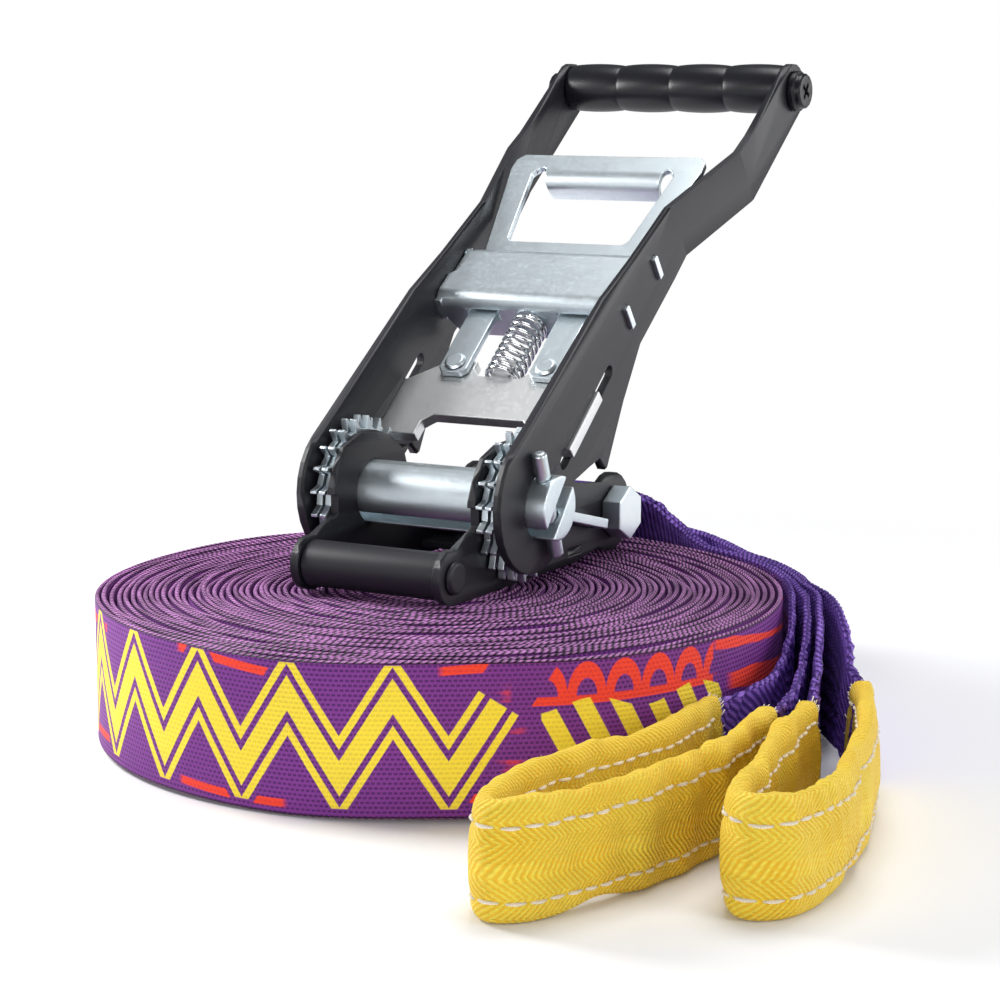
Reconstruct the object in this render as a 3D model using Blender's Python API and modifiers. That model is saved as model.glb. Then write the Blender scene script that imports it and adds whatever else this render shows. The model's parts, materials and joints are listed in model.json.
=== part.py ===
"""Slackline kit: a flat webbing coil with a long-lever ratchet lying on it.

The model is built round the coil's centre on the ground. X runs along the ratchet's spindle,
Y towards its anchor bolt and Z up. At the end everything moves so that the origin lies under
the middle of the whole kit. All sizes are in metres.
"""

import math

import bmesh
import bpy
from mathutils import Matrix, Vector

# General fits
FIT = 0.0003
OVERRUN = 0.004
ROUND_SIDES = 24
SMALL_SIDES = 16
LEAST_MITRE = 0.5
WELD = 1e-6
SNAP = 1e-7
SMOOTH_ANGLE = math.radians(35)

# Webbing and its coil: each modelled turn stands for two layers of the real line
WEB_WIDTH = 0.050
WEB_THICK = 0.0019
LAYERS = 2
BAND = LAYERS * WEB_THICK
COIL_TURNS = 24
LOOP_POINTS = 24
TURN_GAP = 0.0005
COIL_RADIUS = 0.1174
COIL_END_ANGLE = math.radians(125)

# Line end and ratchet strap, where they lie against the rim
RIM_GAP = 0.0008
STRAP_RIM = COIL_RADIUS + RIM_GAP
RIM_START = math.radians(66)
STRAP_SPLIT = math.radians(36)
TAIL_SPLIT = math.radians(32)
RIM_STEP = math.radians(7.5)
ROUTE_RADIUS = 0.1174
LEG_END_SHARE = 0.62
ROUTE_STEP = 3

# Sewn loop sleeves
SLEEVE_HEIGHT = 0.034
SLEEVE_THICK = 0.0070
SLEEVE_FLAT_SHARE = 0.55
SLEEVE_ROUND_SHARE = 0.12

EYE_WIDE = 0.047
EYE_SEAM = 0.004

# Ratchet frame
RATCHET_X = -0.0065
SPINDLE_Y = 0.009
SEAT_Z = WEB_WIDTH + FIT
SPINDLE_RISE = 0.028
SPINDLE_Z = SEAT_Z + SPINDLE_RISE
FRAME_HALF = 0.026
FRAME_THICK = 0.003
FRAME_OUT = FRAME_HALF + FRAME_THICK
EYE_RADIUS = 0.0092
EYE_BACK = 0.039
LOBE_RADIUS = 0.0143
LOBE_BACK = 0.074
FRAME_TOP_BACK = 0.0533
FRAME_TOP_DROP = 0.0005
FOOT_FRONT = 0.0252
FOOT_BACK = 0.0468
HEEL_BACK = 0.0633
HEEL_RISE = 0.0029
BAR_RADIUS = 0.0079
BAR_NECK = 0.0048
BAR_HEAD = 0.0056
BAR_HEAD_HIGH = 0.0016
BOLT_RADIUS = 0.005
HEX_FLATS = 0.017
HEX_HIGH = 0.0074
SLEEVE_WALL = 0.0026
FLOOR_THICK = 0.0025
FLOOR_FRONT = 0.031
FLOOR_LONG = 0.028
FLOOR_RISE = 0.0032
FLOOR_TAB = 0.010

# Spindle and its ratchet wheels
SPINDLE_RADIUS = 0.011
SLOT_WIDTH = 0.006
SLOT_ANGLE = math.radians(50)
SHAFT_OUT = 0.0075
SHAFT_FIT = 0.0004
WHEEL_TIP = 0.026
WHEEL_ROOT = 0.0216
WHEEL_TEETH = 20
WHEEL_THICK = 0.0024
WHEEL_SPACE = 0.0011
WHEEL_PHASE = math.radians(-3.5)
PIN_RADIUS = 0.0025
PIN_ANGLE = math.radians(109)
PIN_TOP = 0.0204
PIN_FOOT = 0.0185
PIN_OUT = 0.0029
WASHER_RADIUS = 0.0140

# Lock pawl
LOCK_ANGLE = math.radians(-14)
LOCK_THICK = 0.0036
LOCK_REACH = 0.0585
LOCK_BAR_FRONT = 0.043
LOCK_BAR_BACK = 0.057
LOCK_FINGER = 0.0062
LOCK_START = 0.025
LOCK_DROP = 0.00705
PAWL_CLEAR = 0.00035
LOCK_TRAVEL = 0.005
LOCK_BITE = 0.0028
LEAF_THICK = 0.0008
LEAF_WIDE = 0.014
LEAF_SEAT = 0.008
LEAF_TURN = 0.002

# Handle
HANDLE_TILT = math.radians(36)
HANDLE_LENGTH = 0.2300
HANDLE_THICK = 0.003
HANDLE_HALF = 0.037
HANDLE_OUT = HANDLE_HALF + HANDLE_THICK
HANDLE_DISC = 0.0236
DISC_FRONT = 0.0024
DISC_RISE = 0.0032
FLARE_START = 0.1353
FLARE_END = 0.1773
FLARE = 0.0096
ARM_END = 0.0104
GRIP_DROP = -0.0008
GRIP_RADIUS = 0.0087
GRIP_GROOVE = 0.0009
GRIP_LOBES = 4
LOBE_STEPS = 6
LOBE_FLATNESS = 0.7
CROSS_TURN = math.radians(20)
ROD_RADIUS = 0.004
CAP_FLANGE = 0.0078
CAP_FLANGE_HIGH = 0.0024
CAP_RADIUS = 0.0068
CAP_HIGH = 0.0050
CROSS_WIDE = 0.0014
CROSS_DEEP = 0.0020

# Drive pawl, its lever and spring, in the handle
PAWL_TILT = math.radians(3.5)
PAWL_THICK = 0.0044
PAWL_START = WHEEL_TIP + PAWL_CLEAR
PAWL_DROP = -0.001
PAWL_HALF = HANDLE_HALF - 2 * FIT
PAWL_LENGTH = 0.0365
EAR_LENGTH = 0.0262
EAR_FOOT = 0.0015
EAR_OUT = 0.0014
SLOT_START = 0.0205
SLOT_END = 0.0660
SLOT_SIDE = 0.0003
LEG_INNER = 0.0215
LEG_LENGTH = 0.0098
NOTCH_HALF = 0.0117
NOTCH_DEEP = 0.0068
TONGUE_HALF = 0.0038
TONGUE_LONG = 0.0085
LEVER_THICK = 0.0025
LEVER_START = 0.0280
LEVER_LENGTH = 0.1163
LEVER_HALF = 0.0405
STRAP_CENTRE = 0.0184
STRAP_WIDE = 0.0115
WINDOW_LONG = 0.0390
LEVER_BAR = 0.0090
LIP_HALF = 0.0246
LIP_LONG = 0.0048
LIP_BEND = 0.0040
LIP_TIP_SHARE = 0.92
LIP_RELIEF = 0.0018
BEND_STEPS = 4
RIVET_RADIUS = 0.0022
RIVET_HEAD = 0.0042
RIVET_HIGH = 0.0014
DOME_SHARE = 0.75
RIVET_BACK = 0.0330

# Bridge between the handle's side plates
BRIDGE_THICK = 0.0028
BRIDGE_FRONT = 0.0843
BRIDGE_LONG = 0.0300
BRIDGE_RISE = 0.0149
BRIDGE_DEEP = 0.0180
BRIDGE_BACK_DEEP = 0.0110
BRIDGE_BEND = 0.0050
BRIDGE_GAP = 0.0004
TAB_LONG = 0.009
TAB_LOW = 0.0052
TAB_OUT = 0.0016

# Drive spring
CURLS = 9
CURL_POINTS = 9
SPRING_RADIUS = 0.0060
WIRE_RADIUS = 0.00065

# Outline of a handle arm beyond its disc, as shares of the handle's length
ARM_FRONT_SHARES = ((0.333, 0.1120), (0.4435, 0.0970), (0.588, 0.0835), (0.770, 0.0522), (0.821, 0.0470),
                    (0.946, 0.0470))
ARM_BACK_SHARES = ((0.946, -0.0417), (0.766, -0.0443), (0.588, -0.0139), (0.533, -0.0170),
                   (0.382, -0.0200), (0.326, -0.0404), (0.288, -0.0539), (0.188, -0.1004),
                   (0.180, -0.0978), (0.179, -0.0722), (0.145, -0.0591), (0.102, -0.0439),
                   (0.079, -0.0394))

# Cam edge of a frame plate: degrees round the spindle and radius as a share of the wheel's tip
CAM_SHARES = ((14.6, 0.885), (26.8, 0.885), (27.8, 0.985), (31.8, 0.985), (32.6, 0.885), (44, 0.835),
              (61, 0.815), (87, 0.820), (110, 0.850), (134, 0.935), (155, 0.938), (170, 0.970),
              (175.2, 0.973), (176.3, 0.885), (191.5, 0.885), (193, 1.010))

# One saw tooth: share of the tooth's angle and of its height
TOOTH_SHARES = ((0.0, 0.0), (0.55, 0.12), (0.67, 0.43), (0.83, 1.0), (0.96, 1.0), (0.985, 0.30))

# Edge of the release lever from its strap outwards: shares of its length and of its half width
LEVER_EDGE_SHARES = ((0.0, 0.549), (0.02, 0.597), (0.36, 0.597), (0.42, 0.695), (0.52, 0.775), (0.93, 0.995),
                     (0.975, 0.985), (1.0, 0.92))
CROTCH_SHARE = 0.36

# Corners of the lever's window: shares of its half width, at its foot and at its top
WINDOW_FOOT_SHARES = (0.570, 0.615)
WINDOW_TOP_SHARES = (0.735, 0.710)

# Bridge plan: shares of its half width at the back, in the middle and at its chamfered front foot
BRIDGE_BACK_SHARE = 0.86
BRIDGE_MIDDLE_SHARE = 0.93
CHAMFER_FOOT_SHARE = 0.76
CHAMFER_RISE_SHARES = (0.62, 0.75)
REAR_OPENING_SHARE = 0.84

# Routes of the soft goods round the rim and to the loops: places on the ground, chosen by hand for a coil
# of ROUTE_RADIUS. The strap adds its height, as a share of the way from the rim up to the bolt, and its turn
TAIL_ROUTE = ((-0.0460, 0.1170), (-0.0275, 0.1352), (-0.0090, 0.1448), (0.0110, 0.1452), (0.0310, 0.1370),
              (0.0490, 0.1225))
STRAP_ROUTE = ((-0.0065, 0.1056, 1.0, 90), (-0.0065, 0.1112, 0.995, 90),
               (-0.0060, 0.1175, 0.94, 78), (-0.0026, 0.1230, 0.833, 58), (0.0040, 0.1268, 0.682, 38),
               (0.0140, 0.1285, 0.48, 20), (0.0270, 0.1250, 0.227, 8), (0.0400, 0.1168, 0.05, 2))
STRAP_GATHER_SHARES = (0.84, 0.80, 0.78, 0.78, 0.80, 0.84, 0.92, 1.0)
LINE_LEG_IN_ROUTE = ((0.1157, 0.0523), (0.1215, 0.0400), (0.1290, 0.0230), (0.1360, 0.0050),
                     (0.1415, -0.0105))
LINE_LEG_OUT_ROUTE = ((0.1197, 0.0524), (0.1290, 0.0390), (0.1370, 0.0260), (0.1420, 0.0170),
                      (0.1470, 0.0100))
STRAP_LEG_IN_ROUTE = ((0.1027, 0.0593), (0.1075, 0.0500), (0.1125, 0.0385), (0.1185, 0.0240),
                      (0.1235, 0.0060), (0.1245, -0.0110))
STRAP_LEG_OUT_ROUTE = ((0.1057, 0.0593), (0.1130, 0.0490), (0.1195, 0.0350), (0.1265, 0.0180),
                       (0.1325, 0.0), (0.1370, -0.0180))
STRAP_SLEEVE_ROUTE = ((0.1180, -0.0360), (0.1200, -0.0550), (0.1212, -0.0780), (0.1192, -0.0960),
                      (0.1165, -0.1150), (0.1150, -0.1350), (0.1155, -0.1520), (0.1185, -0.1650),
                      (0.1245, -0.1695), (0.1300, -0.1650), (0.1340, -0.1560), (0.1378, -0.1430),
                      (0.1408, -0.1270), (0.1428, -0.1100), (0.1436, -0.0920), (0.1432, -0.0750),
                      (0.1418, -0.0570), (0.1390, -0.0400))
LINE_SLEEVE_ROUTE = ((0.1455, -0.0250), (0.1515, -0.0500), (0.1580, -0.0780), (0.1630, -0.1000),
                     (0.1675, -0.1180), (0.1725, -0.1290), (0.1785, -0.1330), (0.1840, -0.1280),
                     (0.1865, -0.1150), (0.1850, -0.0980), (0.1810, -0.0780), (0.1750, -0.0550),
                     (0.1680, -0.0320), (0.1590, -0.0120), (0.1510, 0.0030))

MATERIALS = {
    "purple_webbing": ((0.135, 0.022, 0.235), 0.80, 0.0),
    "yellow_sleeve": ((0.850, 0.545, 0.045), 0.75, 0.0),
    "black_coat": ((0.032, 0.030, 0.035), 0.45, 0.0),
    "black_grip": ((0.022, 0.021, 0.026), 0.55, 0.0),
    "zinc": ((0.590, 0.660, 0.700), 0.30, 1.0),
    "satin_steel": ((0.500, 0.510, 0.510), 0.45, 1.0),
    "spring_steel": ((0.550, 0.550, 0.560), 0.30, 1.0),
}


def clear_scene():
    """Remove whatever the scene holds."""
    for old in list(bpy.data.objects):
        bpy.data.objects.remove(old, do_unlink=True)


def new_collection(name):
    """A new collection in the scene."""
    made = bpy.data.collections.new(name)
    bpy.context.scene.collection.children.link(made)
    return made


def make_materials():
    """One Principled material for each finish."""
    for name, (colour, roughness, metallic) in MATERIALS.items():
        finish = bpy.data.materials.new(name)
        finish.use_nodes = True
        shader = finish.node_tree.nodes["Principled BSDF"]
        shader.inputs["Base Color"].default_value = (*colour, 1.0)
        shader.inputs["Roughness"].default_value = roughness
        shader.inputs["Metallic"].default_value = metallic
        finish.diffuse_color = (*colour, 1.0)


def add(name, data, parent, finish):
    """A visible object of the kit under its parent empty."""
    made = bpy.data.objects.new(name, data)
    KIT.objects.link(made)
    made.parent = parent
    data.materials.clear()
    data.materials.append(bpy.data.materials[finish].copy())
    return made


def empty(name, parent, place=(0, 0, 0), turn=(0, 0, 0)):
    """A marker that carries a group of objects on its axis."""
    made = bpy.data.objects.new(name, None)
    KIT.objects.link(made)
    made.parent = parent
    made.location = place
    made.rotation_euler = turn
    return made


def smooth(mesh):
    """Smooth shading on round faces, with the real edges kept sharp."""
    mesh.shade_smooth()
    mesh.set_sharp_from_angle(angle=SMOOTH_ANGLE)
    return mesh


def mesh_from(source):
    """Turn an object into a welded mesh, and remove the object."""
    bpy.context.view_layer.update()
    seen = source.evaluated_get(bpy.context.evaluated_depsgraph_get())
    mesh = bpy.data.meshes.new_from_object(seen)
    welded = bmesh.new()
    welded.from_mesh(mesh)
    bmesh.ops.remove_doubles(welded, verts=welded.verts, dist=WELD)
    bmesh.ops.recalc_face_normals(welded, faces=welded.faces)
    welded.to_mesh(mesh)
    welded.free()
    bpy.data.objects.remove(source, do_unlink=True)
    return smooth(mesh)


def arc(centre, radius, start, end, steps):
    """Points of an arc between two angles in degrees."""
    turns = [math.radians(start + (end - start) * i / steps) for i in range(steps + 1)]
    return [(centre[0] + radius * math.cos(t), centre[1] + radius * math.sin(t)) for t in turns]


def circle(centre, radius, sides=ROUND_SIDES):
    """Points of a whole circle."""
    return arc(centre, radius, 0, 360 - 360 / sides, sides - 1)


def slot(start, end, width, steps=6):
    """Outline of a slot with round ends between two centres."""
    lean = math.degrees(math.atan2(end[1] - start[1], end[0] - start[0]))
    half = width / 2
    return arc(end, half, lean - 90, lean + 90, steps) + arc(start, half, lean + 90, lean + 270, steps)


def plate_mesh(outlines, thick):
    """A flat plate in the XY plane from an outline and its holes, centred on Z."""
    curve = bpy.data.curves.new("outline", "CURVE")
    curve.dimensions = "2D"
    curve.fill_mode = "BOTH"
    curve.extrude = thick / 2
    for outline in outlines:
        spline = curve.splines.new("POLY")
        spline.points.add(len(outline) - 1)
        for point, place in zip(spline.points, outline):
            point.co = (place[0], place[1], 0, 1)
        spline.use_cyclic_u = True
    holder = bpy.data.objects.new("outline", curve)
    CUTTERS.objects.link(holder)
    return mesh_from(holder)


def round_edges(target, width, segments=2):
    """Round the sharp edges of a plate."""
    bevel = target.modifiers.new("edges", "BEVEL")
    bevel.width = width
    bevel.segments = segments
    bevel.limit_method = "ANGLE"
    bevel.angle_limit = math.radians(60)
    return bevel


def side_plate(name, outlines, thick, middle, parent, finish):
    """A plate that stands across X, its outline drawn in the parent's YZ plane."""
    made = add(name, plate_mesh(outlines, thick), parent, finish)
    made.rotation_euler = (math.pi / 2, 0, math.pi / 2)
    made.location = (middle, 0, 0)
    return made


def turned(name, profile, parent, finish, place=(0, 0, 0), sides=ROUND_SIDES):
    """A turned piece on the X axis. The profile gives (place along X, radius) from left to right."""
    mesh = bpy.data.meshes.new(name)
    lathe = bmesh.new()
    corners = [lathe.verts.new((radius, 0, -along)) for along, radius in profile]
    for first, second in zip(corners, corners[1:]):
        lathe.edges.new((first, second))
    if profile[0][1] > 0:
        lathe.edges.new((corners[-1], corners[0]))
    lathe.to_mesh(mesh)
    lathe.free()
    made = add(name, mesh, parent, finish)
    made.rotation_euler = (0, -math.pi / 2, 0)
    made.location = place
    screw = made.modifiers.new("turn", "SCREW")
    screw.steps = sides
    screw.render_steps = sides
    screw.use_merge_vertices = True
    screw.merge_threshold = WELD
    screw.use_smooth_shade = True
    return made


def cylinder(radius, length, sides=SMALL_SIDES):
    """A plain cylinder along Z, centred."""
    mesh = bpy.data.meshes.new("cylinder")
    solid = bmesh.new()
    bmesh.ops.create_cone(solid, cap_ends=True, segments=sides, radius1=radius, radius2=radius, depth=length)
    solid.to_mesh(mesh)
    solid.free()
    return smooth(mesh)


def box(size, middle=(0, 0, 0)):
    """A box of the given size about its middle."""
    mesh = bpy.data.meshes.new("box")
    solid = bmesh.new()
    bmesh.ops.create_cube(solid, size=1)
    bmesh.ops.scale(solid, vec=size, verts=solid.verts)
    bmesh.ops.translate(solid, vec=middle, verts=solid.verts)
    solid.to_mesh(mesh)
    solid.free()
    return mesh


def cutter(mesh, parent, place=(0, 0, 0), turn=(0, 0, 0)):
    """A hidden helper solid for a Boolean."""
    made = bpy.data.objects.new("cutter", mesh)
    CUTTERS.objects.link(made)
    made.parent = parent
    made.location = place
    made.rotation_euler = turn
    made.hide_render = True
    made.display_type = "WIRE"
    return made


def boolean(target, tool, operation="DIFFERENCE"):
    """Cut or join a helper solid on a piece."""
    step = target.modifiers.new(operation.lower(), "BOOLEAN")
    step.operation = operation
    step.object = tool
    step.solver = "EXACT"


def profile_curve(name, corners):
    """A closed profile for swept straps."""
    curve = bpy.data.curves.new(name, "CURVE")
    curve.dimensions = "2D"
    spline = curve.splines.new("POLY")
    spline.points.add(len(corners) - 1)
    for point, corner in zip(spline.points, reversed(corners)):
        point.co = (corner[0], corner[1], 0, 1)
    spline.use_cyclic_u = True
    made = bpy.data.objects.new(name, curve)
    CUTTERS.objects.link(made)
    made.hide_render = True
    made.display_type = "WIRE"
    return made


def band_outline(route, thick):
    """Outline of a bent strip seen from its side, given the route of its middle."""
    left, right = [], []
    last = len(route) - 1
    for i, place in enumerate(route):
        before, after = Vector(route[max(0, i - 1)]), Vector(route[min(last, i + 1)])
        here = Vector(place)
        first, second = (here - before), (after - here)
        first = first if first.length > 0 else second
        second = second if second.length > 0 else first
        across = (first.normalized() + second.normalized()).orthogonal().normalized()
        reach = thick / 2 / max(LEAST_MITRE, across.dot(first.normalized().orthogonal()))
        left.append(tuple(here + across * reach))
        right.append(tuple(here - across * reach))
    return left + right[::-1]


def tape_profile(name, thick, width):
    """The cross-section of flat webbing standing on its edge."""
    half, high = thick / 2, width / 2
    return profile_curve(name, ((-half, -high), (half, -high), (half, high), (-half, high)))


def sweep(name, route, profile, parent, finish, tilts=None, scales=None):
    """A strap that follows a route, with its profile upright unless it is tilted."""
    curve = bpy.data.curves.new(name, "CURVE")
    curve.dimensions = "3D"
    curve.twist_mode = "Z_UP"
    curve.bevel_mode = "OBJECT"
    curve.bevel_object = profile
    curve.use_fill_caps = True
    spline = curve.splines.new("POLY")
    spline.points.add(len(route) - 1)
    for i, place in enumerate(route):
        spline.points[i].co = (*place, 1)
        spline.points[i].tilt = tilts[i] if tilts else 0
        spline.points[i].radius = scales[i] if scales else 1
    return add(name, curve, parent, finish)


def flowing(knots, per_span=ROUTE_STEP):
    """Points of a smooth curve through hand-chosen places, as tuples of any length."""
    path = []
    last = len(knots) - 1
    for i in range(last):
        before, start, end, after = (Vector(knots[max(0, min(last, i + k))]) for k in (-1, 0, 1, 2))
        for step in range(per_span):
            t = step / per_span
            bend = 2 * before - 5 * start + 4 * end - after
            twist = 3 * start - before - 3 * end + after
            path.append(tuple((2 * start + (end - before) * t + bend * t * t + twist * t ** 3) / 2))
    path.append(tuple(knots[-1]))
    return path


def rim_places(radius, start, end, height):
    """Places along the coil's rim, going clockwise seen from above."""
    steps = max(1, round((start - end) / RIM_STEP))
    turns = [start + (end - start) * i / steps for i in range(steps + 1)]
    return [(radius * math.cos(t), radius * math.sin(t), height) for t in turns]


def coil_places():
    """Centre line of the coil from its outer end to its heart."""
    count = COIL_TURNS * LOOP_POINTS
    outer = COIL_RADIUS - BAND / 2
    pitch = BAND + TURN_GAP
    places = []
    for i in range(count + 1):
        turn = i / LOOP_POINTS
        angle = COIL_END_ANGLE + 2 * math.pi * turn
        radius = outer - pitch * turn
        places.append((radius * math.cos(angle), radius * math.sin(angle), WEB_WIDTH / 2))
    return places


def least_turn_gap(places):
    """Least gap between neighbouring turns, measured on the points and their chords."""
    least = None
    for i in range(len(places) - LOOP_POINTS - 1):
        here = Vector(places[i])
        start, end = Vector(places[i + LOOP_POINTS - 1]), Vector(places[i + LOOP_POINTS + 1])
        middle = Vector(places[i + LOOP_POINTS])
        for a, b in ((start, middle), (middle, end)):
            along = max(0, min(1, (here - a).dot(b - a) / (b - a).length_squared))
            gap = (here - a - along * (b - a)).length - BAND
            least = gap if least is None else min(least, gap)
    return least


def grown(route):
    """A route's places on the ground, moved out or in with the coil's radius."""
    growth = COIL_RADIUS / ROUTE_RADIUS
    return [(x * growth, y * growth) for x, y in route]


def strap_places():
    """The strap's places and turns from the bolt down to the rim, where it follows the coil's radius."""
    middle = WEB_WIDTH / 2
    growth = COIL_RADIUS / ROUTE_RADIUS - 1
    places = []
    for x, y, share, turn in STRAP_ROUTE:
        scale = 1 + growth * (1 - share)
        places.append((x * scale, y * scale, middle + share * (SEAT_Z + LOBE_RADIUS - middle), turn))
    return places


def webbing(parent):
    """The coil, the line's free end, the ratchet's strap and the two sewn loops."""
    middle = WEB_WIDTH / 2
    band = tape_profile("band_profile", BAND, WEB_WIDTH)
    single = tape_profile("single_profile", WEB_THICK, WEB_WIDTH)
    places = coil_places()
    sweep("webbing_coil", places, band, parent, "purple_webbing")
    print("least gap between turns: %.2f mm" % (1000 * least_turn_gap(places)))

    start = COIL_END_ANGLE - 3 * FIT / COIL_RADIUS
    outer = COIL_RADIUS - BAND / 2
    first = (outer * math.cos(start), outer * math.sin(start))
    tail_rim = STRAP_RIM + BAND + RIM_GAP + BAND / 2
    rim = rim_places(tail_rim, RIM_START - RIM_STEP, TAIL_SPLIT, middle)
    knots = [(*place, middle) for place in (first, *grown(TAIL_ROUTE))] + rim
    tail = flowing(knots, 2)
    sweep("line_tail", tail, band, parent, "purple_webbing")

    knots = [(*place, share) for place, share in zip(strap_places(), STRAP_GATHER_SHARES)]
    knots += [(*place, 0, 1) for place in rim_places(STRAP_RIM + BAND / 2, RIM_START, STRAP_SPLIT, middle)]
    route = flowing(knots, 2)
    sweep("ratchet_strap", [place[:3] for place in route], band, parent, "purple_webbing",
          tilts=[math.radians(place[3]) for place in route], scales=[place[4] for place in route])

    low, apart = SLEEVE_HEIGHT / 2, (WEB_THICK + FIT) / 2
    strap_rim = STRAP_RIM + BAND / 2
    line, strap = grown(LINE_SLEEVE_ROUTE), grown(STRAP_SLEEVE_ROUTE)
    for name, split, radius, knots, sleeve_end in (
            ("line_leg_inner", TAIL_SPLIT, tail_rim - apart, LINE_LEG_IN_ROUTE, line[:2]),
            ("line_leg_outer", TAIL_SPLIT, tail_rim + apart, LINE_LEG_OUT_ROUTE, line[:-3:-1]),
            ("strap_leg_inner", STRAP_SPLIT, strap_rim - apart, STRAP_LEG_IN_ROUTE, strap[:2]),
            ("strap_leg_outer", STRAP_SPLIT, strap_rim + apart, STRAP_LEG_OUT_ROUTE, strap[:-3:-1])):
        leg(name, split, radius, grown(knots), sleeve_end, single, middle, low, parent)

    sleeve = sleeve_profile()
    for name, knots in (("line_loop_sleeve", line), ("ratchet_loop_sleeve", strap)):
        sweep(name, flowing([(*place, 0) for place in knots], 2), sleeve, parent, "yellow_sleeve")


def eased(share):
    """A share that starts very gently and ends gently."""
    late = share * share
    return late * late * (3 - 2 * late)


def leg(name, split, radius, knots, sleeve_end, profile, middle, low, parent):
    """One leg of a sewn loop, from the split to just before its sleeve, narrowing as it folds."""
    angle = split - 2 * FIT / radius
    start = (radius * math.cos(angle), radius * math.sin(angle), middle)
    mouth, inside = (Vector(place) for place in sleeve_end)
    stop = mouth - (inside - mouth).normalized() * 3 * FIT
    count = len(knots)
    places = [start]
    for i, place in enumerate(knots):
        places.append((*place, middle + (low - middle) * eased((i + 1) / count)))
    places.append((*stop, low))
    route = flowing(places, 2)
    last = len(route) - 1
    level = last * count / (count + 1)
    scales = [1 + (LEG_END_SHARE - 1) * eased(min(1, i / level)) for i in range(last + 1)]
    sweep(name, route, profile, parent, "purple_webbing", scales=scales)


def sleeve_profile():
    """Cross-section of a folded sleeve, flat where it stands on the ground."""
    half, top = SLEEVE_THICK / 2, SLEEVE_HEIGHT
    flat, rise = half * SLEEVE_FLAT_SHARE, top * SLEEVE_ROUND_SHARE
    right = [(flat, 0), (half, rise), (half, top - rise), (flat, top)]
    left = [(-x, z) for x, z in reversed(right)]
    return profile_curve("sleeve_profile", right + left)


def frame_outline():
    """Side of the ratchet's frame about the spindle: front eye, cam edge and rear lobe."""
    drop = SPINDLE_Z - SEAT_Z
    eye = (-EYE_BACK, EYE_RADIUS - drop)
    lobe = (LOBE_BACK, LOBE_RADIUS - drop)
    cam = [(WHEEL_TIP * share * math.cos(math.radians(a)), WHEEL_TIP * share * math.sin(math.radians(a)))
           for a, share in CAM_SHARES]
    outline = arc(lobe, LOBE_RADIUS, -110, 125, 14)
    outline.append((FRAME_TOP_BACK, -FRAME_TOP_DROP))
    outline += cam
    outline += arc(eye, EYE_RADIUS, 75, 270, 10)
    outline += [(-FOOT_FRONT, -drop), (FOOT_BACK, FIT - drop), (HEEL_BACK, HEEL_RISE - drop)]
    return outline, eye, lobe


def lock_place(back):
    """A place on the lock pawl's sliding line, given how far it lies behind the spindle."""
    return back, (back - LOCK_START) * math.tan(LOCK_ANGLE) - LOCK_DROP


def frame(hub):
    """Two side plates, the front bar, the anchor bolt with its nut and sleeve, and the floor plate."""
    outline, eye, lobe = frame_outline()
    slot_front = lock_place(LOCK_BAR_FRONT - LOCK_BITE - FIT)
    slot_back = lock_place(LOCK_BAR_BACK + LOCK_TRAVEL + FIT)
    lock_slot = slot(slot_front, slot_back, LOCK_THICK + 2 * FIT)
    holes = [circle((0, 0), SPINDLE_RADIUS + SHAFT_FIT), circle(eye, BAR_NECK + FIT, SMALL_SIDES),
             circle(lobe, BOLT_RADIUS + FIT, SMALL_SIDES), lock_slot, floor_tab_hole()]
    for side, name in ((-1, "frame_plate_left"), (1, "frame_plate_right")):
        middle = side * (FRAME_HALF + FRAME_THICK / 2)
        side_plate(name, [outline, *holes], FRAME_THICK, middle, hub, "black_coat")

    inner, outer, head = FRAME_HALF - FIT, FRAME_OUT + FIT, FRAME_OUT + FIT + BAR_HEAD_HIGH
    half_bar = [(inner, BAR_RADIUS), (inner, BAR_NECK), (outer, BAR_NECK), (outer, BAR_HEAD),
                (head - BAR_HEAD_HIGH / 2, BAR_HEAD), (head, BAR_HEAD - BAR_HEAD_HIGH / 2), (head, 0)]
    profile = [(-along, radius) for along, radius in reversed(half_bar)] + half_bar
    turned("front_bar", profile, hub, "black_coat", (0, *eye))

    reach = outer + HEX_HIGH - FIT
    head_middle = outer + HEX_HIGH / 2
    shank = [(-reach, 0), (-reach, BOLT_RADIUS), (head_middle, BOLT_RADIUS), (head_middle, 0)]
    bolt = turned("anchor_bolt", shank, hub, "zinc", (0, *lobe), SMALL_SIDES)
    boolean(bolt, cutter(hexagon(HEX_HIGH), hub, (head_middle, *lobe), (0, math.pi / 2, 0)), "UNION")
    nut = add("anchor_nut", hexagon(HEX_HIGH - FIT), hub, "zinc")
    nut.location = (-outer - (HEX_HIGH - FIT) / 2, *lobe)
    nut.rotation_euler = (0, math.pi / 2, 0)
    bore = cylinder(BOLT_RADIUS + FIT, HEX_HIGH + OVERRUN, SMALL_SIDES)
    boolean(nut, cutter(bore, hub, nut.location, (0, math.pi / 2, 0)))
    tube = BOLT_RADIUS + FIT
    wall = [(-inner, tube), (-inner, tube + SLEEVE_WALL), (inner, tube + SLEEVE_WALL), (inner, tube)]
    turned("anchor_sleeve", wall, hub, "zinc", (0, *lobe), ROUND_SIDES)
    floor_plate(hub)
    strap_eye(hub, lobe)


def hexagon(high):
    """A hexagonal bolt head or nut along Z."""
    corner = HEX_FLATS / math.sqrt(3)
    mesh = bpy.data.meshes.new("hexagon")
    solid = bmesh.new()
    bmesh.ops.create_cone(solid, cap_ends=True, segments=6, radius1=corner, radius2=corner, depth=high)
    bmesh.ops.rotate(solid, verts=solid.verts, cent=(0, 0, 0), matrix=Matrix.Rotation(math.pi / 2, 3, "Z"))
    solid.to_mesh(mesh)
    solid.free()
    return mesh


def floor_level():
    """Middle height of the frame's floor plate below the spindle."""
    return SEAT_Z - SPINDLE_Z + FLOOR_RISE + FLOOR_THICK / 2


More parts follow.
